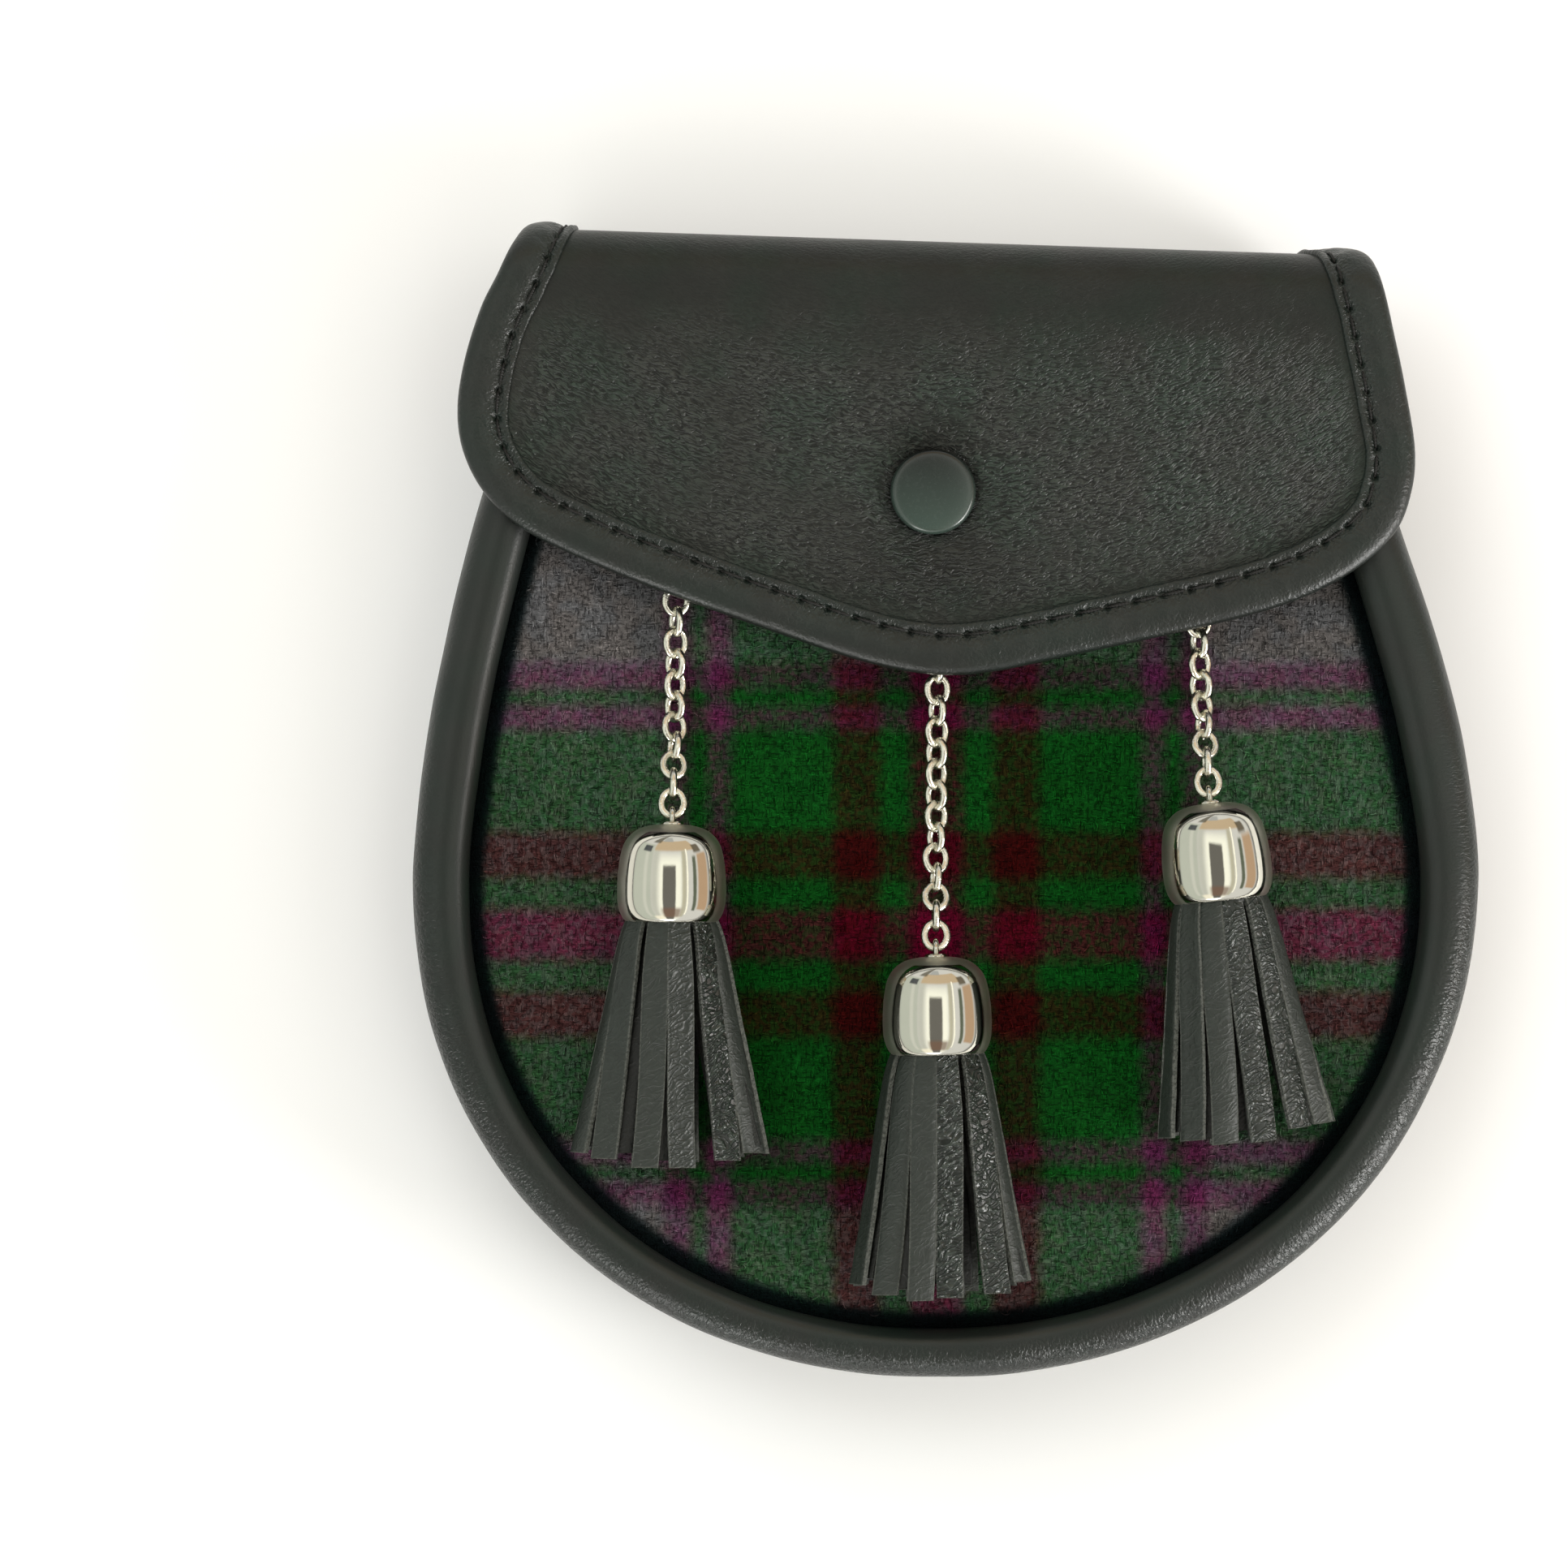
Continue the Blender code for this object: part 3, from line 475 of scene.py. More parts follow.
class Shape:
    """The points in millimetres, faces and marks of a mesh in the making."""

    def __init__(self):
        self.points, self.faces, self.marks, self.size = [], [], {}, 0

    def grid(self, rows, around=False, looped=False, caps=False, **marks):
        """Adds a skin over rows of points. around closes each row, looped joins the last row to the first."""
        count, width = rows.shape[:2]
        r = np.arange(count if looped else count - 1)[:, None]
        c = np.arange(width if around else width - 1)[None, :]
        after, below = (c + 1) % width, (r + 1) % count
        corners = (r * width + c, r * width + after, below * width + after, below * width + c)
        self.faces += (np.stack(corners, -1).reshape(-1, 4) + self.size).tolist()
        if caps:
            self.lid(self.size, width)
            self.lid(self.size + (count - 1) * width, width)
        self.add(rows, marks)

    def add(self, points, marks):
        flat = points.reshape(-1, 3)
        self.points.append(flat)
        for name, value in marks.items():
            values = np.broadcast_to(value, points.shape[:-1]).reshape(-1)
            self.marks.setdefault(name, []).append(values)
        self.size += len(flat)

    def lid(self, first, count):
        """Adds one face over a loop of points, which are numbered from first on."""
        self.faces.append(list(range(first, first + count)))

    def band(self, one, other):
        """Adds faces between two loops of as many points, given by their numbers."""
        one, other = list(one), list(other)
        self.faces += [list(face) for face in zip(one, one[1:] + one[:1], other[1:] + other[:1], other)]

    def piece(self, name, material, sharp=40.0):
        """The object, with its faces turned outwards and shaded smooth except at sharp edges."""
        mesh = bpy.data.meshes.new(name)
        mesh.from_pydata((np.concatenate(self.points) * MM).tolist(), [], self.faces)
        work = bmesh.new()
        work.from_mesh(mesh)
        bmesh.ops.recalc_face_normals(work, faces=work.faces)
        work.to_mesh(mesh)
        work.free()
        for mark, values in self.marks.items():
            layer = mesh.attributes.new(mark, "FLOAT", "POINT")
            layer.data.foreach_set("value", np.concatenate(values).astype(np.float32))
        mesh.shade_smooth()
        mesh.set_sharp_from_angle(angle=math.radians(sharp))
        mesh.materials.append(material)
        made = bpy.data.objects.new(name, mesh)
        bpy.context.scene.collection.objects.link(made)
        return made


def dress(piece, slot, *nodes):
    """Rides the piece on the pouch and hides the solids that it stands for. The name of its finish, slot, is not
    used.
    """
    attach(piece, "root")
    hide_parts(*nodes)
    return piece


def keep(node, material):
    """Gives a solid that stays its material."""
    solid_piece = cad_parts[node]
    solid_piece.data.materials.clear()
    solid_piece.data.materials.append(material)


def rough(points, size, seed=0.0):
    """Smooth noise from -1 to 1 at each point, with features of this size."""
    flat = points.reshape(-1, 3) / size + seed
    return np.array([noise.noise(p) for p in flat.tolist()]).reshape(points.shape[:-1])


def smooth_through(points, steps=8, closed=False):
    """A Catmull-Rom curve through points."""
    p = np.array(points, float)
    if closed:
        p = np.concatenate((p[-1:], p, p[:2]))
    else:
        p = np.concatenate((2 * p[:1] - p[1:2], p, 2 * p[-1:] - p[-2:-1]))
    a, b, c, d = (q[:, None] for q in (p[:-3], p[1:-2], p[2:-1], p[3:]))
    t = (np.arange(steps) / steps)[None, :, None]
    curve = 0.5 * (2 * b + (c - a) * t + (2 * a - 5 * b + 4 * c - d) * t**2 + (3 * b - a - 3 * c + d) * t**3)
    curve = curve.reshape(-1, p.shape[1])
    return curve if closed else np.concatenate((curve, p[-2:-1]))


def reach_of(curve):
    """The distance along a curve to each of its points."""
    steps = np.linalg.norm(np.diff(curve, axis=0), axis=1)
    return np.concatenate(([0.0], np.cumsum(steps)))


def at_reach(curve, wanted, values=None):
    """The points at the wanted distances along a curve, or the values there of what is given for its points."""
    reach = reach_of(curve)
    columns = (curve if values is None else values).T
    return np.stack([np.interp(wanted, reach, column) for column in columns], -1)


def evenly(curve, count):
    return at_reach(curve, np.linspace(0.0, reach_of(curve)[-1], count))


def inward(curve):
    """The unit normal at each point of a plane curve, to the left of the way that it runs."""
    along = np.gradient(curve, axis=0)
    return unit(np.stack((-along[:, 1], along[:, 0]), -1))


def unit(v):
    return v / np.maximum(np.linalg.norm(v, axis=-1, keepdims=True), 1e-9)


def fading(distance, reach):
    """1 at no distance and softly less away from it, down to about a third at this reach."""
    return np.exp(-((distance / reach) ** 2))


def eased(share):
    """A share of 0 to 1 that starts and ends softly."""
    return share**2 * (3 - 2 * share)


def circle(count):
    """Even angles round a circle."""
    return np.arange(count) * math.tau / count


def raised(flat, z):
    """Plane points as points in space."""
    return np.concatenate((flat, np.broadcast_to(np.asarray(z, float)[..., None], (*flat.shape[:-1], 1))), -1)


def turned_to(points, angle, at):
    """Points turned about Z and then moved."""
    cos, sin = math.cos(angle), math.sin(angle)
    x, y, z = np.moveaxis(points, -1, 0)
    return np.stack((x * cos - y * sin + at[0], x * sin + y * cos + at[1], z + at[2]), -1)


def tube(path, radius, sides, up, closed=False):
    """Rows of points of a round wire along a path, with up across it."""
    along = np.gradient(path, axis=0)
    if closed:
        along = np.roll(path, -1, axis=0) - np.roll(path, 1, axis=0)
    along = unit(along)
    side = unit(np.cross(along, up))
    over = np.cross(side, along)
    angles = circle(sides)[:, None]
    radius = np.broadcast_to(np.asarray(radius, float), (len(path),))[:, None, None]
    ring = side[:, None] * np.cos(angles) + over[:, None] * np.sin(angles)
    return path[:, None] + ring * radius


def sew(shape, line, up, pitch, thickness, proud, gap=0.8):
    """Adds stitches along a line on a surface: each comes out of one hole and goes into the next."""
    share = np.linspace(0.0, 1.0, 9)
    arch = np.sin(math.pi * share)
    lift = (proud + thickness) * np.sqrt(arch) - thickness * 0.9
    radius = thickness / 2 * (0.7 + 0.3 * arch)
    for k in range(int(reach_of(line)[-1] / pitch)):
        reach = k * pitch + gap / 2 + (pitch - gap) * share
        over = unit(at_reach(line, reach, up))
        path = at_reach(line, reach) + over * lift[:, None]
        shape.grid(tube(path, radius, 7, over), around=True, caps=True)


# ---------------------------------------------------------------- the pouch's outline

HALF_WIDTH, WIDEST_Y = 93.6, -13.6
BOTTOM_DEPTH, BOTTOM_POWER = 88.1, 2.1
SHOULDER_RUN, SHOULDER_LOSS, SHOULDER_POWER = 109.6, 29.6, 1.53
UPPER_LEAN, LOWER_LEAN, LEAN_ROUND = 0.033, 0.018, 15.0
BACK_PANEL, BOARD = (7.0, 9.0), (27.0, 29.6)  # each from its lower face to its upper one
PANEL_INSET, MOUTH_Y, BACK_RIM_TOP = 5.4, 88.0, 74.0
PANEL_CENTRE = np.array((-1.5, -2.0))  # where the rows of a panel's points run in to
# The cross-sections are points (how far in from the outline, height)
GUSSET_SECTION = ((3.1, 9.3), (5.3, 17.5), (3.1, 25.7), (4.9, 25.7), (7.1, 17.5), (4.9, 9.3))
FRONT_RIM_SECTION = (
    (0.05, 30.4), (0.35, 28.4), (1.2, 26.8), (2.8, 26.05), (4.7, 26.1), (4.95, 27.6), (5.1, 29.3),
    (6.2, 29.8), (8.9, 29.8), (9.6, 31.3), (9.2, 33.1), (7.6, 34.7), (5.2, 35.2), (2.8, 34.6), (0.9, 32.8),
)  # fmt: skip
BACK_RIM_SECTION = (
    (0.0, 5.0), (0.35, 2.9), (1.3, 1.1), (3.2, 0.05), (6.2, 0.05), (8.0, 1.0), (8.9, 2.9), (8.9, 5.4),
    (8.3, 6.6), (6.0, 6.8), (4.95, 7.4), (4.8, 8.8), (2.6, 8.8), (0.8, 7.6),
)  # fmt: skip
RIM_STEP, RIM_INNER, RIM_NARROWS = 4.9, 9.6, 0.3
# How much plumper than its solid the front roll is all round, and how much more at its right, with the height
# and the reach of that
RIM_PLUMP, RIGHT_PLUMP, PLUMP_AT, PLUMP_REACH = 0.55, 0.85, 14.0, 28.0
SHADE_BAND, SHADE_FADE = 3.6, 2.0


def lean(y):
    """How far the middle of the pouch is off to the side at a height."""
    off = y - WIDEST_Y
    return -np.where(off > 0, UPPER_LEAN, LOWER_LEAN) * (np.hypot(off, LEAN_ROUND) - LEAN_ROUND)


def outline(top, count):
    """The pouch's outline from its left side at height top, round the bottom, to its right side."""
    shoulder = np.linspace(top, WIDEST_Y, 400)[:-1]
    half_width = HALF_WIDTH - SHOULDER_LOSS * ((shoulder - WIDEST_Y) / SHOULDER_RUN) ** SHOULDER_POWER
    angles = np.linspace(0.0, math.pi / 2, 900)
    x = HALF_WIDTH * np.maximum(np.cos(angles), 0.0) ** (2 / BOTTOM_POWER)
    y = WIDEST_Y - BOTTOM_DEPTH * np.sin(angles) ** (2 / BOTTOM_POWER)
    right = np.stack((np.concatenate((half_width, x)), np.concatenate((shoulder, y))), -1)
    whole = np.concatenate((right[:-1] * (-1, 1), right[::-1]))
    whole[:, 0] += lean(whole[:, 1])
    return evenly(whole, count)


def swept(section, top, count, steps, narrows=0.0):
    """Rows of points of a cross-section all round the outline, the way out at each, and the two curves."""
    path = outline(top, count)
    normals = inward(path)
    loop = smooth_through(section, steps, closed=True)
    inset, height = loop.T
    after = np.roll(loop, -1, axis=0)
    along = after - np.roll(loop, 1, axis=0)
    out = unit(np.stack((-along[:, 1], along[:, 0]), -1))
    if np.sum(inset * after[:, 1] - after[:, 0] * height) > 0:
        out = -out
    narrow = np.maximum(inset - RIM_STEP, 0.0) * narrows * np.maximum(normals[:, 1:], 0.0)
    rows = raised(path[:, None] + normals[:, None] * (inset - narrow)[..., None], height)
    ways = raised(normals[:, None] * out[:, :1], out[:, 1])
    return rows, ways, path, loop


def panel_edge(count):
    """The edge of a panel inside the outline, closed by the straight mouth, as an even loop."""
    path = outline(MOUTH_Y, 900)
    edge = path + inward(path) * PANEL_INSET
    return evenly(np.concatenate((edge, edge[:1])), count + 1)[:-1]


def panel_rows(edge, inset):
    """Rows of points from the edge of a panel to its centre, each this share of the way in."""
    return PANEL_CENTRE + (edge - PANEL_CENTRE) * (1 - inset)[:, None, None]


# ---------------------------------------------------------------- the flap

FLAP_FOLD_AT, FLAP_TILT = (-1.27, 97.7), math.radians(-1.9)
FLAP_LEATHER, FLAP_FRONT_Z, FLAP_BACK_Z = 2.2, 37.7, 5.5
FOLD_RADIUS, FLAP_TAIL, FLAP_TAIL_HALF, FLAP_WALL_HALF = 6.0, 20.0, 71.0, 72.6
# How much the fold stands out beyond its solid, and the place and the reach of that along the leather
FOLD_SWELL, SWELL_AT, SWELL_REACH = 1.1, -4.0, 6.5
BINDING_WIDTH, BINDING_SHARE_AT_BACK = 9.0, 0.5
SNAP_AT, SNAP_DIP, SNAP_DIP_REACH = (0.45, -43.7), 2.2, 12.0
SNAP_RADIUS, SNAP_HEIGHT, SNAP_LEVEL = 7.5, 2.6, 54.0
STITCH_INSET = 7.0
STRAIGHT_TO, SHAPED_FROM = 13.0, 14.0  # where the flap's rows stop being straight, along the leather
TAIL_SEAM_AT, TAIL_SEAM_HALF = 10.5, 66.0  # below the corner at the back, and half its length
FLAP_EDGE = (
    (-73.2, -1.1), (-76.9, -7.1), (-80.0, -14.0), (-82.6, -23.5), (-83.5, -32.0), (-82.2, -39.5),
    (-78.2, -46.6), (-71.6, -52.4), (-61.1, -57.4), (-45.6, -63.1), (-21.3, -70.9), (-8.5, -74.4),
    (2.5, -75.8), (12.0, -74.9), (22.6, -72.4), (50.7, -65.3), (64.6, -60.7), (74.6, -55.2),
    (81.6, -48.4), (84.3, -41.5), (84.8, -33.5), (82.6, -22.0), (80.4, -13.0), (78.8, -6.8), (75.9, -1.1),
)  # fmt: skip
FLAP_OUTER_Y = -FLAP_LEATHER / 2
QUARTER = FOLD_RADIUS * math.pi / 2
WALL = FLAP_FRONT_Z - FLAP_BACK_Z - 2 * FOLD_RADIUS


def flap_surface(x, run, off):
    """Points of the folded flap, off millimetres out from the middle of its leather.

    run is the distance along the leather: 0 where the fold's front corner starts, more down the front.
    """
    x, run, off = np.broadcast_arrays(x, run, off)
    back = run < -WALL
    depth = np.where(back, -run - WALL, run)
    bend = np.clip(depth / FOLD_RADIUS, 0.0, math.pi / 2)
    straight = np.maximum(depth - QUARTER, 0.0)
    y = FLAP_OUTER_Y - FOLD_RADIUS * (1 - np.cos(bend)) - straight + off * np.cos(bend)
    y = y + FOLD_SWELL * fading(run - SWELL_AT, SWELL_REACH)
    z = (FOLD_RADIUS + off) * np.sin(bend) - FOLD_RADIUS
    z = np.where(back, FLAP_BACK_Z - z, FLAP_FRONT_Z + z + np.minimum(run, 0.0))
    return np.stack((x, y, z), -1)


def run_at(y):
    """The distance along the leather to the height y on the front."""
    below = FLAP_OUTER_Y - np.asarray(y, float)
    on_fold = FOLD_RADIUS * np.arccos(1 - np.clip(below, 0.0, FOLD_RADIUS) / FOLD_RADIUS)
    return np.where(below >= FOLD_RADIUS, QUARTER + below - FOLD_RADIUS, on_fold)


def from_flap_frame(points):
    """Points of the flap's own frame in the pouch's."""
    return turned_to(points, FLAP_TILT, (*FLAP_FOLD_AT, 0.0))


def flap_edge(count, inset):
    """The flap's edge laid flat, as points (x, run), moved in by inset."""
    tail = -(WALL + QUARTER + FLAP_TAIL - FOLD_RADIUS - FLAP_LEATHER / 2)
    left, right = ([(side * FLAP_TAIL_HALF, tail), (side * FLAP_WALL_HALF, -WALL / 2)] for side in (-1, 1))
    front = [(x, float(run_at(y))) for x, y in FLAP_EDGE]
    curve = evenly(smooth_through([*left, *front, *right[::-1]], 40), count)
    normals = inward(curve)
    window = np.hanning(2 * (count // 90) + 3)
    padded = np.pad(normals, ((len(window) // 2,) * 2, (0, 0)), "edge")
    normals = unit(np.stack([np.convolve(column, window / window.sum(), "valid") for column in padded.T], -1))
    return curve - normals * inset


def flap_rows(across, down, inset):
    """Rows of points (x, run) that fill the flap inside its binding.

    The rows are straight over the back and the fold. Below them they take the form of the lower edge bit by bit.
    """
    edge = flap_edge(1600, inset)
    half = len(edge) // 2
    left = int(np.argmax(edge[:half, 1] - edge[:half, 0]))
    right = half + int(np.argmax(edge[half:, 1] + edge[half:, 0]))
    sides = edge[: left + 1], edge[right:][::-1]
    u = np.linspace(0.0, 1.0, across)[:, None]

    def ends_at(run):
        return [np.array((np.interp(run, side[:, 1], side[:, 0]), run)) for side in sides]

    runs = [edge[0, 1]]
    for end, count in ((-WALL - QUARTER, 16), (-WALL, 8), (0.0, 14), (STRAIGHT_TO, 14)):
        runs += np.linspace(runs[-1], end, count)[1:].tolist()
    ends = [ends_at(run) for run in runs]
    below = [side[side[:, 1] > SHAPED_FROM + 0.1] for side in sides]
    falls = [evenly(np.concatenate((top[None], rest)), down) for top, rest in zip(ends_at(SHAPED_FROM), below)]
    bottom = evenly(edge[left : right + 1], across)
    bow = bottom - (bottom[0] + (bottom[-1] - bottom[0]) * u)
    rows = [west + (east - west) * u for west, east in ends]
    for west, east, share in zip(*falls, np.linspace(0.0, 1.0, down)):
        rows.append(west + (east - west) * u + bow * share)
    return np.array(rows)


def off_snap(x, run):
    """How far points are to the right of the snap's middle and below it, along the leather."""
    return x - SNAP_AT[0], run - run_at(SNAP_AT[1])


def snap_dip(x, run):
    """How deep the leather is drawn in round the snap."""
    return SNAP_DIP * fading(np.hypot(*off_snap(x, run)), SNAP_DIP_REACH)


# ---------------------------------------------------------------- chains and tassels

LINK_HALF_LENGTH, LINK_HALF_WIDTH, LINK_PITCH, LINK_WIRE = 2.25, 1.8, 3.72, 0.55
CHAIN_Z, CHAIN_RISE_RUN, CHAIN_ROLL = 32.3, 18.0, math.radians(45)
BELL_RADIUS, BELL_LENGTH = 9.6, 17.0
BELL_Z = BOARD[1] + GAP + BELL_RADIUS
BELL_CROWN = 5.0
EYE_RADIUS, EYE_WIRE, EYE_STANDS = 1.7, 0.5, 1.2
FRINGE_LENGTH, FRINGE_END_Z, FRINGE_END_HALF_HEIGHT, FRINGE_ARC = 43.0, 36.5, 5.2, 2.6
# Of each tassel: the links of its chain and the point that they lead to, the place of its bell, its lean in
# degrees, half the width of its fringe, and how crinkled the upper strips are, at the right and in the middle
TASSELS = {
    "left": {
        "links": 13, "towards": (-47.3, 46.0), "bell_at": (-48.0, -4.4), "lean": -0.7,
        "spread": 17.2, "crinkle": (1.0, 0.35),
    },
    "middle": {
        "links": 17, "towards": (-1.2, 36.0), "bell_at": (-1.8, -27.6), "lean": 1.1,
        "spread": 15.7, "crinkle": (0.9, 0.9),
    },
    "right": {
        "links": 11, "towards": (44.2, 42.0), "bell_at": (46.2, -0.7), "lean": 6.5,
        "spread": 15.4, "crinkle": (0.65, 0.65),
    },
}  # fmt: skip


def from_bell_frame(points, tassel):
    """Points of a bell's own frame, whose y axis comes out of its top, in the pouch's."""
    return turned_to(points, math.radians(tassel["lean"]), (*tassel["bell_at"], BELL_Z))


def chain_stations(tassel):
    """(centre, direction) of each link, from the bell's eye up to the staple."""
    tilt = math.radians(tassel["lean"])
    axis = Vector((-math.sin(tilt), math.cos(tilt), 0.0))
    wire_in_eye = EYE_STANDS + EYE_RADIUS - EYE_WIRE - GAP - LINK_WIRE
    start = Vector((*tassel["bell_at"], BELL_Z)) + axis * wire_in_eye
    level = Vector((*tassel["towards"], BELL_Z)) - start
    course = Vector((level.x, level.y, 0)).normalized()
    shared = 2 * LINK_HALF_LENGTH - LINK_PITCH
    ends, reach = [start + course * shared], shared
    while len(ends) <= tassel["links"]:
        reach += 0.02
        drop = (BELL_Z - CHAIN_Z) * eased(min(reach / CHAIN_RISE_RUN, 1.0))
        at = start + course * reach - Vector((0, 0, drop))
        if (at - ends[-1]).length >= LINK_PITCH:
            ends.append(at)
    stations = []
    for begin, end in zip(ends, ends[1:]):
        along = (end - begin).normalized()
        stations.append((end - along * LINK_HALF_LENGTH, along))
    return stations


def oval(half_length, half_width, count):
    """Points of a link's or a ring's centre line, as (along, aside)."""
    angles = circle(count)
    return np.stack((half_length * np.cos(angles), half_width * np.sin(angles)), -1)


def turned(profile, sides):
    """Rows of points of a profile of (radius, distance down) turned about the y axis."""
    angles = circle(sides)
    radius, down = np.array(profile).T[..., None]
    return np.stack(np.broadcast_arrays(radius * np.cos(angles), -down, radius * np.sin(angles)), -1)


# ---------------------------------------------------------------- one operator for each piece


class PouchPiece:
    """What the operators share: they run at once and stop the script if they fail."""

    bl_options = {"REGISTER", "UNDO"}

    def execute(self, context):
        self.build(context.scene.pouch_colours, context.scene.pouch_sizes)
        return {"FINISHED"}


CLOTH_PROUD = 0.1  # how far the cloth's middle lies above its board
TUCK_FROM, TUCK_RUN, TUCK_DEEP = 2.0, 6.5, 2.1  # how the cloth dips towards its edge
FIBRES, FIBRE_SIDES, FIBRE_POINTS = 10600, 3, 5


def at_mouth(where):
    """0 below the mouth's straight edge and 1 at it, where no rim presses on the cloth."""
    return np.clip((where[..., 1] - 60.0) / 20.0, 0.0, 1.0)


def cloth_height(where, depth, sizes):
    """The height of the cloth, which dips under the rim, at points this far in from its edge."""
    tuck = np.clip(1 - (depth - TUCK_FROM) / TUCK_RUN, 0.0, 1.0)
    points = raised(where, 0.0)
    swell = rough(points, 26.0) * 0.14 + rough(points, 6.0, 3.0) * 0.06
    swell = swell + rough(points, 1.3, 9.0) * sizes.pile * 0.35
    return BOARD[1] + CLOTH_PROUD - TUCK_DEEP * tuck**2 * (1 - at_mouth(where)) + swell * (1 - tuck)


def painted_rim_shade(where, depth):
    """How deep in the rim's painted shade the cloth is, over a band beside the rim's inner edge."""
    narrow = RIM_NARROWS * np.clip((PANEL_CENTRE[1] - where[..., 1]) / BOTTOM_DEPTH, 0.0, 1.0)
    rim = RIM_STEP + (RIM_INNER - RIM_STEP) * (1 - narrow) - PANEL_INSET
    return eased(np.clip((rim + SHADE_BAND - depth) / SHADE_FADE, 0.0, 1.0)) * (1 - at_mouth(where))


class POUCH_OT_cloth(PouchPiece, bpy.types.Operator):
    """Builds the tartan cloth, stretched over its board and tucked under the front rim"""

    bl_idname = "pouch.cloth"
    bl_label = "Tartan front"

    def build(self, colours, sizes):
        count = 620
        edge = panel_edge(count)
        inset = np.concatenate((np.linspace(0.0, 9.0, 15)[:-1], np.linspace(9.0, 86.0, 74)[:-1])) / 86.0
        rows = panel_rows(edge, inset)
        depth = inset[:, None] * np.linalg.norm(edge - PANEL_CENTRE, axis=1)
        height = cloth_height(rows, depth, sizes)
        shape = Shape()
        # The mark edge carries the rim's painted shade over the cloth, and the board's side wall is wholly in it
        shape.grid(raised(rows, height), around=True, edge=painted_rim_shade(rows, depth), lift=0.0)
        inner = shape.size - count
        shape.add(np.array([[*PANEL_CENTRE, height[-1].mean()]]), {"edge": 0.0, "lift": 0.0})
        shape.faces += [[inner + k, inner + (k + 1) % count, inner + count] for k in range(count)]
        under = shape.size
        shape.add(raised(rows[0], BOARD[0]), {"edge": 1.0, "lift": 0.0})
        shape.band(range(count), range(under, under + count))
        shape.lid(under, count)
        piece = shape.piece("tartan_cloth", look(tartan_wool, "tartan_wool", colours, sizes))
        dress(piece, "tartan_cloth", "tartan_front")


class POUCH_OT_fuzz(PouchPiece, bpy.types.Operator):
    """Builds the loose fibres that stand up from the brushed wool"""

    bl_idname = "pouch.fuzz"
    bl_label = "Wool fibres"

    def build(self, colours, sizes):
        drawn = np.random.default_rng(11)
        edge = panel_edge(1200)
        spoke = edge[drawn.integers(0, len(edge), FIBRES)] - PANEL_CENTRE
        share = np.sqrt(drawn.uniform(0.0, 1.0, FIBRES))
        depth = (1 - share) * np.linalg.norm(spoke, axis=1)
        shown = depth > 2.5
        at, depth = (PANEL_CENTRE + spoke * share[:, None])[shown], depth[shown]
        count = len(at)
        heading = drawn.integers(0, 2, count) * math.pi / 2 + drawn.normal(0.0, 0.24, count)
        reach, bend = drawn.uniform(1.1, 2.6, count), drawn.normal(0.0, 0.32, count)
        t = np.linspace(-0.5, 0.5, FIBRE_POINTS)
        ahead = t * reach[:, None]
        aside = bend[:, None] * (0.25 - t**2) * 2 * reach[:, None]
        cos, sin = np.cos(heading)[:, None], np.sin(heading)[:, None]
        flat = at[:, None] + np.stack((ahead * cos - aside * sin, ahead * sin + aside * cos), -1)
        stands = drawn.uniform(0.05, 0.3, count)[:, None] * (1 - (2 * t) ** 2) - 0.03
        path = raised(flat, cloth_height(flat, depth[:, None], sizes) + stands)
        along = unit(np.gradient(path, axis=1))
        side = unit(np.cross(along, (0.0, 0.0, 1.0)))[:, 1:-1, None]
        over = np.cross(side, along[:, 1:-1, None])
        angles = (circle(FIBRE_SIDES) + 0.5)[:, None]
        thick = drawn.uniform(0.08, 0.13, count)[:, None, None, None]
        rings = path[:, 1:-1, None] + (side * np.cos(angles) + over * np.sin(angles)) * thick
        points = np.concatenate((path[:, :1], rings.reshape(count, -1, 3), path[:, -1:]), 1)
        shape = Shape()
        # lift is how much lighter a fibre is painted: painted light on the loose fibres
        lift = drawn.uniform(0.05, 0.46, count)[:, None]
        shape.add(points, {"edge": painted_rim_shade(at, depth)[:, None], "lift": lift})
        first = np.arange(count)[:, None, None] * points.shape[1]
        for faces in self.skin(points.shape[1] - 1):
            shape.faces += (faces + first).reshape(-1, faces.shape[1]).tolist()
        wool = look(tartan_wool, "tartan_wool", colours, sizes)
        dress(shape.piece("tartan_fibres", wool, 180.0), "tartan_cloth")

    def skin(self, end):
        """The faces of one fibre: bands between its rings, and a point at each end. Its last point is end."""
        k = np.arange(FIBRE_SIDES)
        after = (k + 1) % FIBRE_SIDES
        rings = 1 + FIBRE_SIDES * np.arange(FIBRE_POINTS - 2)
        faces = [np.stack((a + k, a + after, b + after, b + k), -1) for a, b in zip(rings, rings[1:])]
        begin = np.stack((k * 0, 1 + after, 1 + k), -1)
        return [*faces, begin, np.stack((rings[-1] + k, rings[-1] + after, k * 0 + end), -1)]


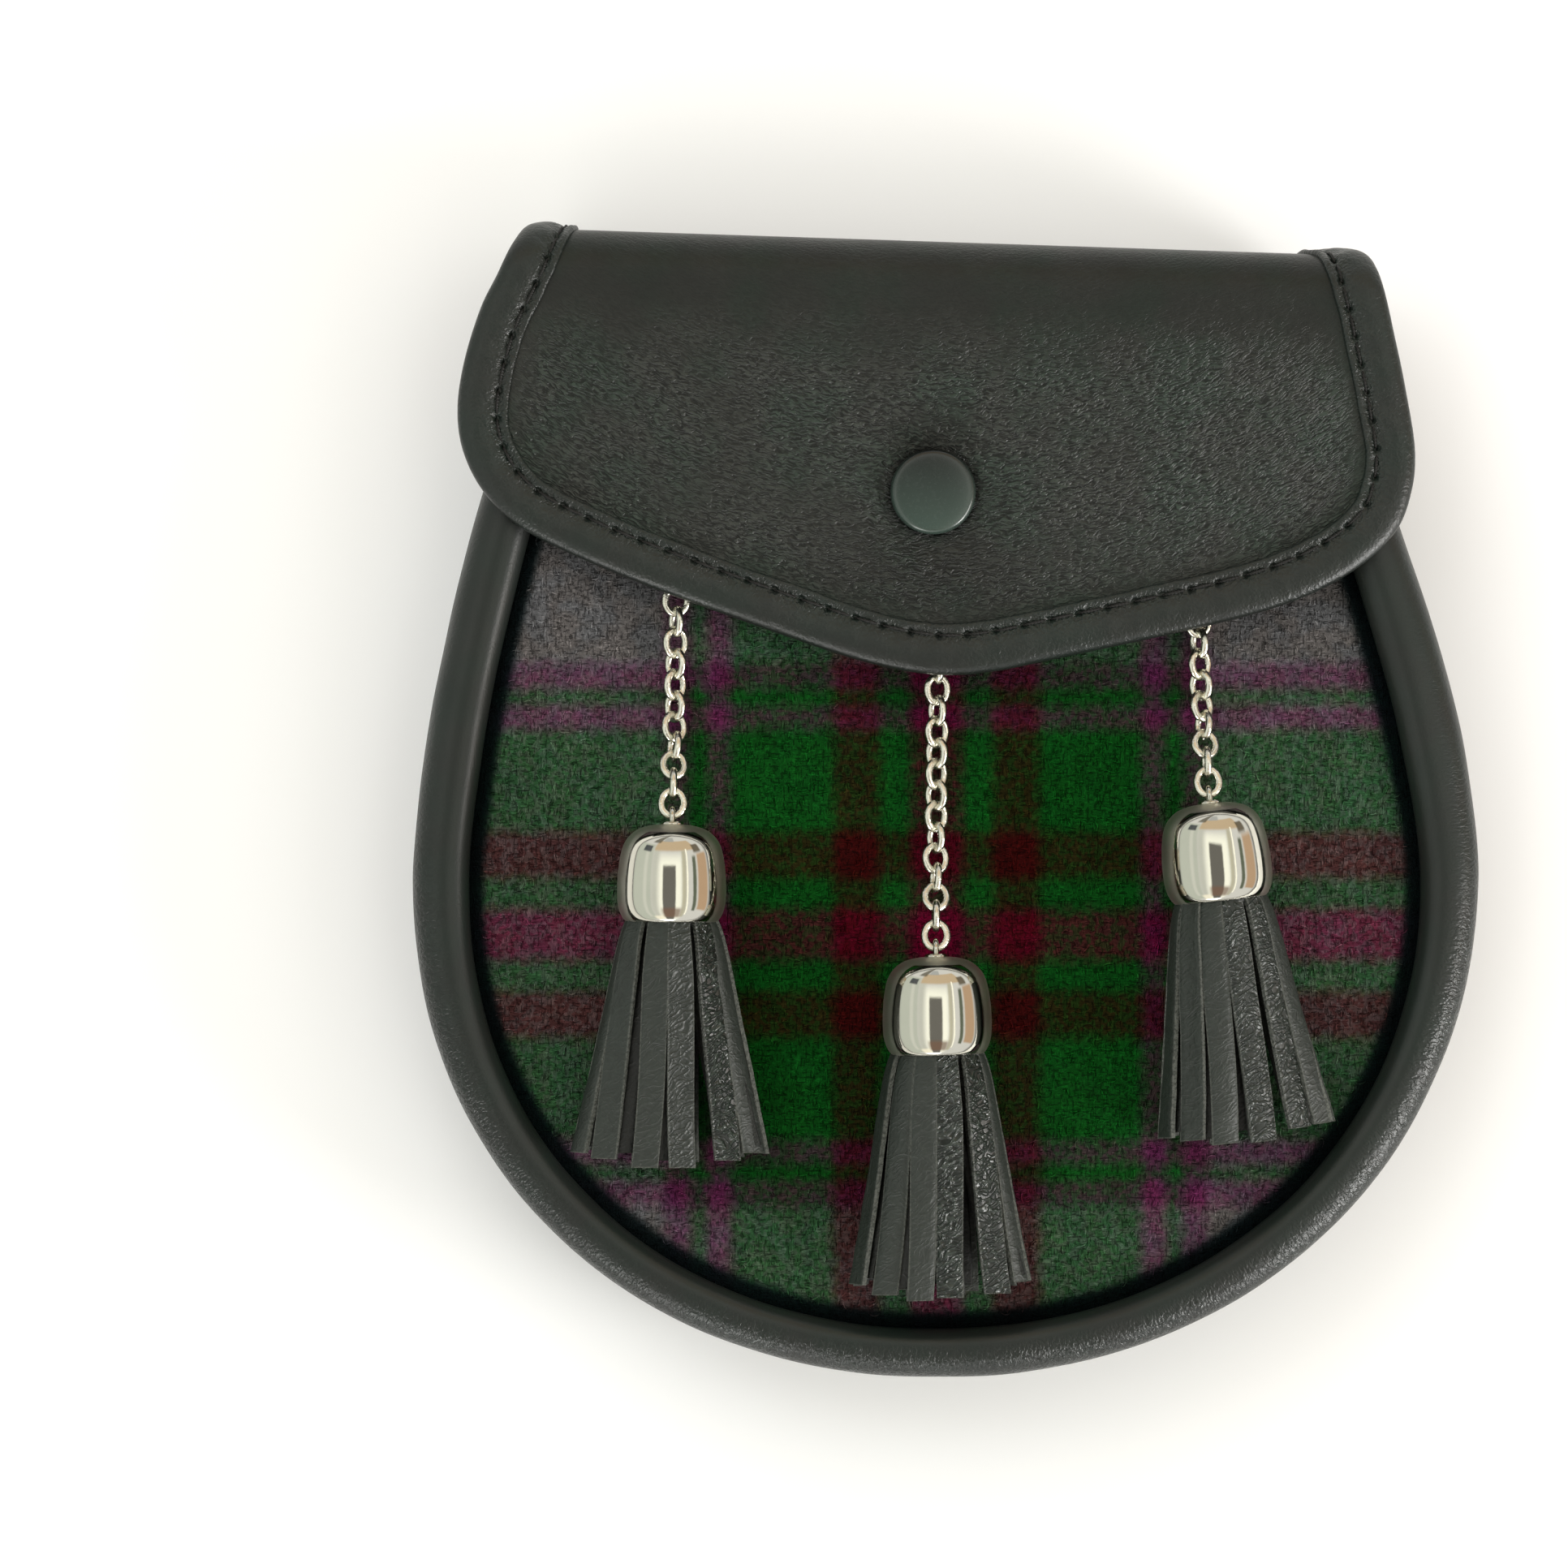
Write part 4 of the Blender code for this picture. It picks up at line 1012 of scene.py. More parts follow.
class POUCH_OT_rims(PouchPiece, bpy.types.Operator):
    """Builds the padded leather rolls round the front and the back"""

    bl_idname = "pouch.rims"
    bl_label = "Rims"

    def build(self, colours, sizes):
        made = look(leather, "roll_hide", colours.leather, 0.36, 0.36, 0.73, ROLL_RIPPLES)
        for name, section, top, count, seed, narrows, plump in (
            ("front_rim", FRONT_RIM_SECTION, MOUTH_Y, 640, 0.0, RIM_NARROWS, 1.0),
            ("back_rim", BACK_RIM_SECTION, BACK_RIM_TOP, 440, 40.0, 0.0, 0.0),
        ):
            rows, ways, path, loop = swept(section, top, count, 4, narrows)
            outer = np.clip(1.3 - loop[:, 0] / 4.5, 0.0, 1.0)
            bulge = RIGHT_PLUMP * fading(path[:, 1] - PLUMP_AT, PLUMP_REACH) * (path[:, 0] > 0)
            stout = (plump * (RIM_PLUMP + bulge))[:, None] * outer
            rows = rows + ways * (rough(rows, 14.0, seed) * 0.16)[..., None]
            rows[..., :2] -= inward(path)[:, None] * stout[..., None]
            rows[..., 2] = np.maximum(rows[..., 2], 0.0)
            girth = np.cumsum(np.linalg.norm(np.roll(loop, -1, axis=0) - loop, axis=1))
            bent = outer * np.clip((20.0 - rows[..., 1]) / 60.0, 0.15, 1.0)
            shape = Shape()
            shape.grid(rows, around=True, caps=True, along=reach_of(path)[:, None], across=girth, bent=bent)
            dress(shape.piece(name + "_roll", made, 60.0), "rim_leather", name)


GUSSET_SEAMS_TOP, GUSSET_SEAM_INSET, GUSSET_SEAM_HEIGHTS = 84.0, 3.75, (12.2, 22.8)
PLAIN_STITCH = 4.4
LOOP_PLACES = ("belt_loop_left", -46.0), ("belt_loop_right", 46.0)
LOOP_THICK, LOOP_CORNER, LOOP_STEPS = 1.9, 1.6, 70
# A loop's cross-section: how far aside a point of its outer face is, and how far in its edge is rounded there
LOOP_SECTION = (
    (-10.0, 0.55), (-9.85, 0.2), (-9.3, 0.0), (-8.0, 0.06), (-4.0, 0.03), (0.0, 0.0),
    (4.0, 0.03), (8.0, 0.06), (9.3, 0.0), (9.85, 0.2), (10.0, 0.55),
)  # fmt: skip
LOOP_BOX_HALF, LOOP_BOXES, LOOP_STITCH = 8.0, ((34.4, 38.2), (66.8, 70.6)), 3.2


class POUCH_OT_body(PouchPiece, bpy.types.Operator):
    """Builds the gusset, the back panel and the belt loops, with their stitching"""

    bl_idname = "pouch.body"
    bl_label = "Gusset, back and loops"

    def build(self, colours, sizes):
        plain = look(leather, "plain_hide", colours.leather, 0.16, 0.5)
        thread = look(twisted_thread, "waxed_thread", colours.thread)
        stitches = Shape()
        rows, ways, path, _ = swept(GUSSET_SECTION, MOUTH_Y, 420, 5)
        height = rows[..., 2]
        laid_out = np.stack(np.broadcast_arrays(reach_of(path)[:, None], height * 0.25, 0.0), -1)
        shape = Shape()
        shape.grid(rows + ways * (rough(laid_out, 5.0) * 0.22)[..., None], around=True, caps=True)
        dress(shape.piece("gusset_wall", plain, 50.0), "gusset_leather", "gusset")
        path = outline(GUSSET_SEAMS_TOP, 700)
        normals = inward(path)
        for z in GUSSET_SEAM_HEIGHTS:
            line = raised(path + normals * GUSSET_SEAM_INSET, z)
            sew(stitches, line, raised(-normals, 0.0), PLAIN_STITCH, sizes.thread, 0.12)
        self.back(plain)
        self.loops(plain, stitches, sizes)
        dress(stitches.piece("body_stitches", thread), "gusset_leather")

    def back(self, plain):
        """The back panel: two faces, slightly uneven, and the wall between them."""
        count = 300
        inset = np.linspace(0.0, 0.98, 26)
        rows = panel_rows(panel_edge(count), inset)
        shape = Shape()
        for z, way in zip(BACK_PANEL, (-1.0, 1.0)):
            points = raised(rows, z)
            points[..., 2] += rough(points, 30.0, z) * 0.12 * np.clip(inset * 8, 0, 1)[:, None] * way
            shape.grid(points, around=True)
            shape.lid(shape.size - count, count)
        half = shape.size // 2
        shape.band(range(count), range(half, half + count))
        dress(shape.piece("back_leather_panel", plain), "back_leather", "back_panel")

    def loops(self, plain, stitches, sizes):
        """The belt loops: straps that bend away from the back panel, sewn to it at both ends."""
        top = BACK_PANEL[0] - GAP
        low = top - LOOP_THICK
        outer = [
            (33.0, low), (39.0, low - 0.1), (41.4, 1.0), (44.5, 0.05), (53.0, 0.0), (61.5, 0.05), (64.6, 1.0),
            (66.0, low - 0.1), (72.0, low),
        ]  # fmt: skip
        line = evenly(smooth_through(outer, 10), LOOP_STEPS)
        out = inward(line)
        out = np.where(out[:, 1:] > 0, -out, out)
        share = np.linspace(0.0, 1.0, LOOP_STEPS)
        from_end = np.minimum(share, 1 - share) * reach_of(line)[-1]
        narrow = 1 - np.clip(1 - from_end / LOOP_CORNER, 0, 1) ** 2 * 0.12
        across, rounded = np.array(LOOP_SECTION).T
        aside = np.concatenate((across, across[::-1])) * narrow[:, None]
        down = np.concatenate((rounded, LOOP_THICK - rounded[::-1]))
        bent = line[:, None] - out[:, None] * down[:, None]
        for name, x in LOOP_PLACES:
            rows = np.stack((x + aside, bent[..., 0], np.clip(bent[..., 1], 0.0, top)), -1)
            shape = Shape()
            shape.grid(rows, around=True, caps=True)
            dress(shape.piece(name + "_strap", plain, 50.0), "back_leather", name)
            left, right = x - LOOP_BOX_HALF, x + LOOP_BOX_HALF
            for near, far in LOOP_BOXES:
                box = np.array([(left, near), (right, near), (right, far), (left, far), (left, near)])
                for side in zip(box, box[1:]):
                    seam = evenly(raised(np.array(side), low), 30)
                    length_of_side = reach_of(seam)[-1]
                    pitch = length_of_side / max(round(length_of_side / LOOP_STITCH), 1) - 1e-6
                    sew(stitches, seam, np.tile((0.0, 0.0, -1.0), (30, 1)), pitch, sizes.thread, 0.05, 0.7)


# The binding's upper face: how far in from its edge a point is, and how far out from the middle of the leather
BINDING_PROFILE = (
    (0.0, 0.0), (0.12, 0.8), (0.55, 1.45), (1.4, 2.0), (2.6, 2.3), (4.0, 2.32), (5.4, 2.08), (6.4, 1.72),
    (7.0, 1.5), (7.55, 1.72), (8.2, 1.92), (8.7, 1.86), (8.95, 1.55), (9.0, 1.1),
)  # fmt: skip


class POUCH_OT_flap(PouchPiece, bpy.types.Operator):
    """Builds the flap, the strip that binds its edge, and the stitches through the strip"""

    bl_idname = "pouch.flap"
    bl_label = "Flap and binding"

    def build(self, colours, sizes):
        flat = flap_rows(176, 104, STITCH_INSET)
        x, run = flat[..., 0], flat[..., 1]
        level = flap_surface(x, run, 0.0)
        swell = rough(level, 34.0, 5.0) * 0.2 + rough(level, 11.0, 2.0) * 0.04
        raise_by = swell * np.clip((run - QUARTER) / 12.0, 0.0, 1.0) - snap_dip(x, run)
        shape, marks = Shape(), self.marks(x, run)
        for off, pulled in ((FLAP_LEATHER / 2, self.pull(x, run)), (-FLAP_LEATHER / 2, 0.0)):
            points = flap_surface(x, run, off)
            points[..., 2] += raise_by + pulled
            shape.grid(from_flap_frame(points), **marks)
        number = np.arange(x.size).reshape(x.shape)
        border = np.concatenate((number[0], number[1:, -1], number[-1, -2::-1], number[-2:0:-1, 0]))
        shape.band(border.tolist(), (border + x.size).tolist())
        made = look(leather, "flap_hide", colours.leather, 0.26, 0.38, 1.14, FLAP_RIPPLES, FLAP_SHADES)
        dress(shape.piece("flap_leather_sheet", made), "flap_leather", "flap")
        self.binding(colours, sizes)

    def marks(self, x, run):
        """How rippled the leather is, and how dark the painted shade on it is."""
        tall, wide = x.shape
        across, down = np.arange(wide), np.arange(tall)[:, None]
        from_side = np.minimum(across, wide - 1 - across) * 150.0 / wide
        from_edge = np.minimum(from_side, (tall - 1 - down) * 0.62)
        from_fold = np.clip((run - QUARTER - 4.0) / 13.0, 0.0, 1.0)
        bent = (0.15 + 0.85 * from_fold) * np.clip(from_edge / 7.0, 0.25, 1.0)
        aside, below = off_snap(x, run)
        shades = (
            fading(np.maximum(np.hypot(aside, below) - SNAP_RADIUS, 0.0), 0.9),  # painted shade round the cap
            0.22 * (1 - np.clip(from_edge / 6.0, 0.0, 1.0)),  # painted shade beside the binding
            # painted shade on the fold
            0.46 * (1 - from_fold),
            0.46 * fading(aside, 19.0) * fading(below - 15.0, 8.5),  # painted shade under the cap
            0.4 * fading(aside, 7.0) * fading(below + 9.0, 4.5),  # painted shade over the cap
        )
        return {"bent": bent, "deep": np.maximum.reduce(shades)}

    def pull(self, x, run):
        """Fine folds in the leather that run out from the snap."""
        aside, below = off_snap(x, run)
        angle = np.arctan2(below, aside)
        near = fading(np.hypot(aside, below) - SNAP_RADIUS - 1.0, 5.0)
        return near * 0.10 * np.sin(angle * 17 + np.sin(angle * 3) * 2)

    def binding(self, colours, sizes):
        """The strip folded over the flap's edge, drawn in at each hole of its seam, and the stitches."""
        count = 1150
        profile = smooth_through(BINDING_PROFILE, 2)
        inset = np.concatenate((profile[:, 0], profile[::-1, 0][:-1]))
        height = np.concatenate((profile[:, 1], -profile[::-1, 1][:-1]))
        outside, seam, inside = (flap_edge(count, i) for i in (0.0, STITCH_INSET, BINDING_WIDTH))
        reach = reach_of(from_flap_frame(flap_surface(*seam.T, 1.5)))
        pitch = reach[-1] / round(reach[-1] / sizes.stitch)
        phase = reach / pitch
        hole = fading((phase - np.round(phase)) * pitch, 0.55)

        def uneven(level, size, seed):
            return rough(np.stack(np.broadcast_arrays(reach, level, 0.0), -1), size, seed)

        rows = np.empty((count, len(inset), 3))
        for k, (i, h) in enumerate(zip(inset, height)):
            share = i / BINDING_WIDTH
            line = outside + (inside - outside) * share
            wave = rough(raised(line, i), 9.0, 1.0) * 0.22 * share
            line = line + (inside - outside) / BINDING_WIDTH * wave[:, None]
            if h > 0:
                groove, swell = fading(i - STITCH_INSET, 0.5), fading(i - 5.4, 1.3) + fading(i - 8.1, 0.6)
                off = h - 0.95 * groove * hole + 0.13 * swell * np.cos(math.tau * phase)
                off += uneven(i * 1.5, 5.0, 8.0) * 0.12 + uneven(i * 0.5, 1.7, 4.0) * 0.05
            else:
                front = np.clip(1 + line[:, 1] / WALL, 0.0, 1.0)
                off = h * (BINDING_SHARE_AT_BACK + (1 - BINDING_SHARE_AT_BACK) * front)
            rows[:, k] = flap_surface(*line.T, off)
        bent = 0.25 + 0.75 * fading(inset - STITCH_INSET, 1.6)
        rows = from_flap_frame(rows)
        shape = Shape()
        shape.grid(rows, around=True, caps=True, along=reach[:, None], across=inset * 1.4, bent=bent)
        made = look(leather, "binding_hide", colours.leather, 0.36, 0.36, 0.76, ROLL_RIPPLES)
        dress(shape.piece("binding_strip", made, 60.0), "binding_leather", "flap_binding")
        tail = np.linspace(-TAIL_SEAM_HALF, TAIL_SEAM_HALF, 200)
        tail = np.stack((tail, np.full(200, -WALL - QUARTER - TAIL_SEAM_AT)), -1)
        stitches = Shape()
        for line, lower, upper, step, proud in (
            (seam, 1.62, 2.6, pitch, 0.02),
            (tail, 1.1, 2.0, PLAIN_STITCH, 0.05),
        ):
            low, high = (from_flap_frame(flap_surface(*line.T, off)) for off in (lower, upper))
            sew(stitches, low, high - low, step, sizes.thread, proud, 0.9)
        thread = look(twisted_thread, "waxed_thread", colours.thread)
        dress(stitches.piece("binding_stitches", thread), "binding_leather")


CAP_PROFILE = (  # (radius, height)
    (0.02, SNAP_HEIGHT), (2.0, SNAP_HEIGHT - 0.01), (4.2, 2.55), (5.7, 2.48), (6.5, 2.4), (6.85, 2.3),
    (7.1, 2.12), (7.32, 1.8), (7.46, 1.3), (7.5, 0.7), (7.42, 0.0), (7.1, -0.35), (6.4, -0.45), (0.02, -0.45),
)  # fmt: skip
STUD_METAL = (0.5, 0.49, 0.46)


class POUCH_OT_snap(PouchPiece, bpy.types.Operator):
    """Builds the enamelled cap of the snap, and finishes the stud under the flap"""

    bl_idname = "pouch.snap"
    bl_label = "Snap"

    def build(self, colours, sizes):
        base = FLAP_FRONT_Z + FLAP_LEATHER / 2 - SNAP_DIP * fading(SNAP_RADIUS, SNAP_DIP_REACH) + GAP
        rows = turned(smooth_through(CAP_PROFILE, 6) * (1, -1), 128)
        points = rows[..., (0, 2, 1)] + (*SNAP_AT, base)
        shape = Shape()
        shape.grid(from_flap_frame(points), around=True, caps=True)
        lacquer = look(enamel, "cap_lacquer", colours.enamel)
        dress(shape.piece("snap_cap_dome", lacquer, 50.0), "snap_enamel", "snap_cap")
        keep("snap_stud", look(metal, "plain_metal", STUD_METAL, 0.35, 0.15))


class POUCH_OT_chains(PouchPiece, bpy.types.Operator):
    """Builds the three chains link by link, and finishes the staples that hold them"""

    bl_idname = "pouch.chains"
    bl_label = "Chains"

    def build(self, colours, sizes):
        nickel = look(metal, "chain_nickel", colours.nickel, 0.2, 0.12, 0.12)
        for name, tassel in TASSELS.items():
            shape, stations = Shape(), chain_stations(tassel)
            drawn = random.Random(name)
            for k, (centre, along) in enumerate(stations):
                share = k / (len(stations) - 1)
                roll = math.pi / 2 * k + CHAIN_ROLL * math.sin(math.pi * share) ** 2
                level = Vector((-along.y, along.x, 0)).normalized()
                side = level * math.cos(roll) + along.cross(level) * math.sin(roll)
                size = 1 + drawn.uniform(-0.02, 0.02)
                loop = oval(LINK_HALF_LENGTH + 0.1, (LINK_HALF_WIDTH + 0.14) * size, 48)
                ways = np.array((along, side))
                wire = tube(np.array(centre) + loop @ ways, sizes.wire / 2, 12, np.cross(*ways), closed=True)
                shape.grid(wire, around=True, looped=True)
            dress(shape.piece("chain_links_" + name, nickel), "chain_metal", "chain_" + name)
            keep("chain_anchor_" + name, nickel)


SATIN_BELOW, SATIN_CROWN = 5.3, 1.3  # the bell is dull at its sides and round its crown
BELL_TONE = 0.8  # how light the bells are beside the chains
GROMMET_RADIUS, GROMMET_WIRE, GROMMET_STANDS = 1.6, 0.42, 0.15
BELL_PROFILE = (  # (radius, distance down), over the crown, down the side and up inside its mouth
    (0.02, 0.0), (1.3, 0.0), (2.8, 0.05), (4.5, 0.35), (6.2, 1.0), (7.7, 2.3), (8.6, 3.9), (9.15, 6.2),
    (9.45, 8.8), (9.55, 11.4), (9.45, 13.6), (9.1, 15.2), (8.55, 16.35), (8.0, 16.95), (7.75, 16.9),
    (7.7, 16.0), (7.65, 12.0),
)  # fmt: skip


class POUCH_OT_bells(PouchPiece, bpy.types.Operator):
    """Builds the bright bells with their grommets and eyes"""

    bl_idname = "pouch.bells"
    bl_label = "Bells"

    def build(self, colours, sizes):
        tint = tuple(BELL_TONE * part for part in colours.nickel)
        nickel = look(metal, "bell_mirror", tint, 0.04, 0.05, 0.004)
        cup = turned(smooth_through(BELL_PROFILE, 5), 128)
        sides = np.clip((SATIN_BELOW - cup[..., 2]) / 0.4 + 0.5, 0.0, 1.0)
        crown = np.clip((cup[..., 1] + SATIN_CROWN) / 0.3 + 0.5, 0.0, 1.0)
        ring = np.insert(oval(GROMMET_RADIUS, GROMMET_RADIUS, 40), 1, GROMMET_STANDS, axis=1)
        grommet = tube(ring, GROMMET_WIRE, 10, (0.0, 1.0, 0.0), closed=True)
        ring = np.insert(oval(EYE_RADIUS, EYE_RADIUS, 40) + (EYE_STANDS, 0.0), 0, 0.0, axis=1)
        eye = tube(ring, EYE_WIRE, 12, (1.0, 0.0, 0.0), closed=True)
        for name, tassel in TASSELS.items():
            shape = Shape()
            shape.grid(from_bell_frame(cup, tassel), around=True, caps=True, satin=np.maximum(sides, crown))
            for wire in (grommet, eye):
                shape.grid(from_bell_frame(wire, tassel), around=True, looped=True, satin=0.0)
            dress(shape.piece("bell_cup_" + name, nickel), "bell_nickel", "bell_" + name)


INNER_LAYERS = (9, 0.76, 1.2), (6, 0.42, 2.6)  # how many strips, their scale, and how much shorter they are
FRINGE_HEAD = (
    (0.02, BELL_CROWN + 0.4), (7.2, BELL_CROWN + 0.4), (7.3, 9.0), (7.3, 17.0), (6.0, 19.5), (0.02, 20.5),
)  # fmt: skip
STRIP_THICK = 0.55
# A strip's cross-section: the share of half its width, the share of its thickness, and how bare of dye it is
STRIP_SECTION = (
    (-1.0, -0.7, 1.0), (-1.0, 0.7, 1.0), (-0.87, 1.0, 0.0), (-0.5, 1.0, 0.0), (0.0, 1.0, 0.0),
    (0.5, 1.0, 0.0), (0.87, 1.0, 0.0), (1.0, 0.7, 1.0), (1.0, -0.7, 1.0), (0.87, -1.0, 0.3),
    (0.0, -1.0, 0.3), (-0.87, -1.0, 0.3),
)  # fmt: skip


class POUCH_OT_fringes(PouchPiece, bpy.types.Operator):
    """Builds the leather strips of the three fringes, in layers round a rolled head"""

    bl_idname = "pouch.fringes"
    bl_label = "Fringes"

    def build(self, colours, sizes):
        made = look(strip_leather, "strip_hide", colours)
        for number, (name, tassel) in enumerate(TASSELS.items()):
            drawn = random.Random(20 + number)
            shape = Shape()
            for layer, (count, scale, short) in enumerate(((sizes.strips, 1.0, 0.0), *INNER_LAYERS)):
                for k in range(count):
                    angle = math.tau * (k + 0.57 + 0.5 * layer) / count + drawn.uniform(-0.06, 0.06)
                    cut_off = short + drawn.uniform(-0.4, 0.6)
                    self.strip(shape, tassel, sizes.strip / 2, angle, scale, cut_off, layer > 0, drawn)
            head = from_bell_frame(turned(FRINGE_HEAD, 40), tassel)
            # The head inside the bell is wholly in painted shade
            shape.grid(head, around=True, caps=True, cut=0.0, crinkle=0.0, deep=1.0)
            dress(shape.piece("fringe_strips_" + name, made, 35.0), "fringe_leather", "fringe_" + name)

    def strip(self, shape, tassel, half, angle, scale, short, inner, drawn):
        """One strip, from inside the bell to its cut end."""
        share = np.append(np.linspace(0.0, 1.0, 34)[:-1], (0.994, 1.0))
        level = np.zeros_like(share)
        cos, sin = math.cos(angle), math.sin(angle)
        reach = tassel["spread"] - half * abs(sin) - 0.3
        flare = 1 - np.exp(-share * 16)
        root = 6.7 * scale
        wide = root + 1.5 * scale * flare + (reach * (scale * 0.25 + 0.75) - root - 1.5 * scale) * share**1.12
        tall = root + 1.3 * scale * flare
        tall = tall + (FRINGE_END_HALF_HEIGHT * (0.25 + 0.75 * scale) - tall) * share**1.2
        rise = (FRINGE_END_Z - BELL_Z) * share
        down = BELL_LENGTH - 1.5 + (FRINGE_LENGTH + 1.5 - FRINGE_ARC * cos**2 - short) * share
        wander = drawn.uniform(-0.8, 0.8) * share**2 + 0.35 * np.sin(share * 5 + drawn.uniform(0, 6)) * share
        centre = np.stack((wide * cos - wander * sin, -down, rise + tall * sin + wander * cos * 0.3), -1)
        twist = (drawn.uniform(-0.25, 0.25) * share + drawn.uniform(-0.06, 0.06))[:, None]
        round_edge = unit(np.stack((-wide * sin, level, tall * cos), -1))
        out = unit(np.stack((tall * cos, level, wide * sin), -1))
        side = round_edge * np.cos(twist) + out * np.sin(twist)
        out = unit(np.cross(side, (0.0, -1.0, 0.0)))
        out *= np.sign(np.sum(out * (cos, 0.0, sin), -1, keepdims=True))
        half = half * (0.8 + 0.2 * np.clip(share * 4, 0, 1)) * (0.92 if inner else 1)
        across, height, cut = np.array(STRIP_SECTION).T
        curl = drawn.uniform(-0.25, 0.45) * across**2
        rows = centre[:, None] + side[:, None] * (across * half[:, None])[..., None]
        ripple = rough(rows, 3.5, drawn.uniform(0, 50)) * 0.22 * share[:, None]
        rows = rows + out[:, None] * (height * STRIP_THICK - curl + ripple)[..., None]
        rows[..., 2] = np.maximum(rows[..., 2], BOARD[1] + 0.45 - BELL_Z)
        cut = np.tile(cut, (len(share), 1))
        cut[-1] = 1.0
        crinkle = drawn.uniform(0.04, 0.16)
        if not inner and -0.2 < cos < 0.9 and sin > 0:
            crinkle = tassel["crinkle"][0 if cos > 0.2 else 1]
        # The inner layers are darkened as painted shade
        marks = {"cut": cut, "crinkle": crinkle, "deep": float(inner)}
        shape.grid(from_bell_frame(rows, tassel), around=True, caps=True, **marks)


# ---------------------------------------------------------------- the studio

CAMERA_AT, CAMERA_LENS = (-0.02843, 0.00271), 130.4
FLOOR_HALF, FLOOR_Z = 4.0, -0.0002
# Each lamp's name, place, size, share of the key lamp's power and colour, and the rays that it is hidden from
LAMPS = (
    ("key_lamp", (0.95, -0.36, 0.5), 0.4, 1.0, (1.0, 0.98, 0.95), None),
    ("fill_lamp", (-0.5, 0.75, 0.95), 1.1, 1.0, (0.96, 0.98, 1.0), "visible_glossy"),
    ("sheen_lamp", (0.8, -0.7, 0.3), 0.36, 1.6, (1.0, 0.99, 0.97), "visible_diffuse"),
    ("glow_lamp", (-0.42, -0.94, 0.3), 0.36, 0.65, (1.0, 0.99, 0.97), "visible_diffuse"),
)
# What the room shows: from and to which angle to the right and from and to which angle up, from straight above,
# how soft its edges are, how strong it is, and its colour
ROOM_PATCHES = (
    (-88, -44, -62, 45, 3, 0.85, (0.74, 0.79, 0.70)),
    (-62, -54, -50, 40, 3, 0.6, (1.05, 1.05, 0.98)),
    (-44, -27, -62, 40, 6, 0.7, (0.80, 0.82, 0.74)),
    (-27, 24, -66, 22, 8, 0.95, (1.6, 1.6, 1.44)),
    (-50, -20, -82, -50, 5, 0.8, (1.6, 1.5, 1.25)),
    (-42, 58, 30, 62, 3, 0.9, (0.84, 0.63, 0.40)),
    (-30, 8, 60, 80, 3, 0.8, (0.55, 0.57, 0.58)),
    (-60, -34, 52, 90, 4, 0.85, (0.16, 0.14, 0.10)),
    (-72, -50, 26, 40, 2, 0.9, (0.05, 0.06, 0.08)),
    (24, 33, -55, 30, 3, 0.8, (0.72, 0.68, 0.50)),
    (34, 37, -45, 34, 1, 0.9, (1.8, 1.75, 1.5)),
    (48, 56, -30, 20, 2, 0.9, (0.10, 0.13, 0.07)),
    (60, 84, -26, 22, 3, 0.9, (0.72, 0.46, 0.27)),
    (54, 74, 24, 44, 3, 0.9, (0.16, 0.12, 0.07)),
    (-18, 10, -70, 14, 2, 0.95, (0.16, 0.15, 0.14)),
    (-22, 24, -58, -26, 6, 0.8, (0.30, 0.18, 0.13)),
    (-60, 20, -85, -70, 4, 0.9, (4.0, 4.0, 3.95)),
)


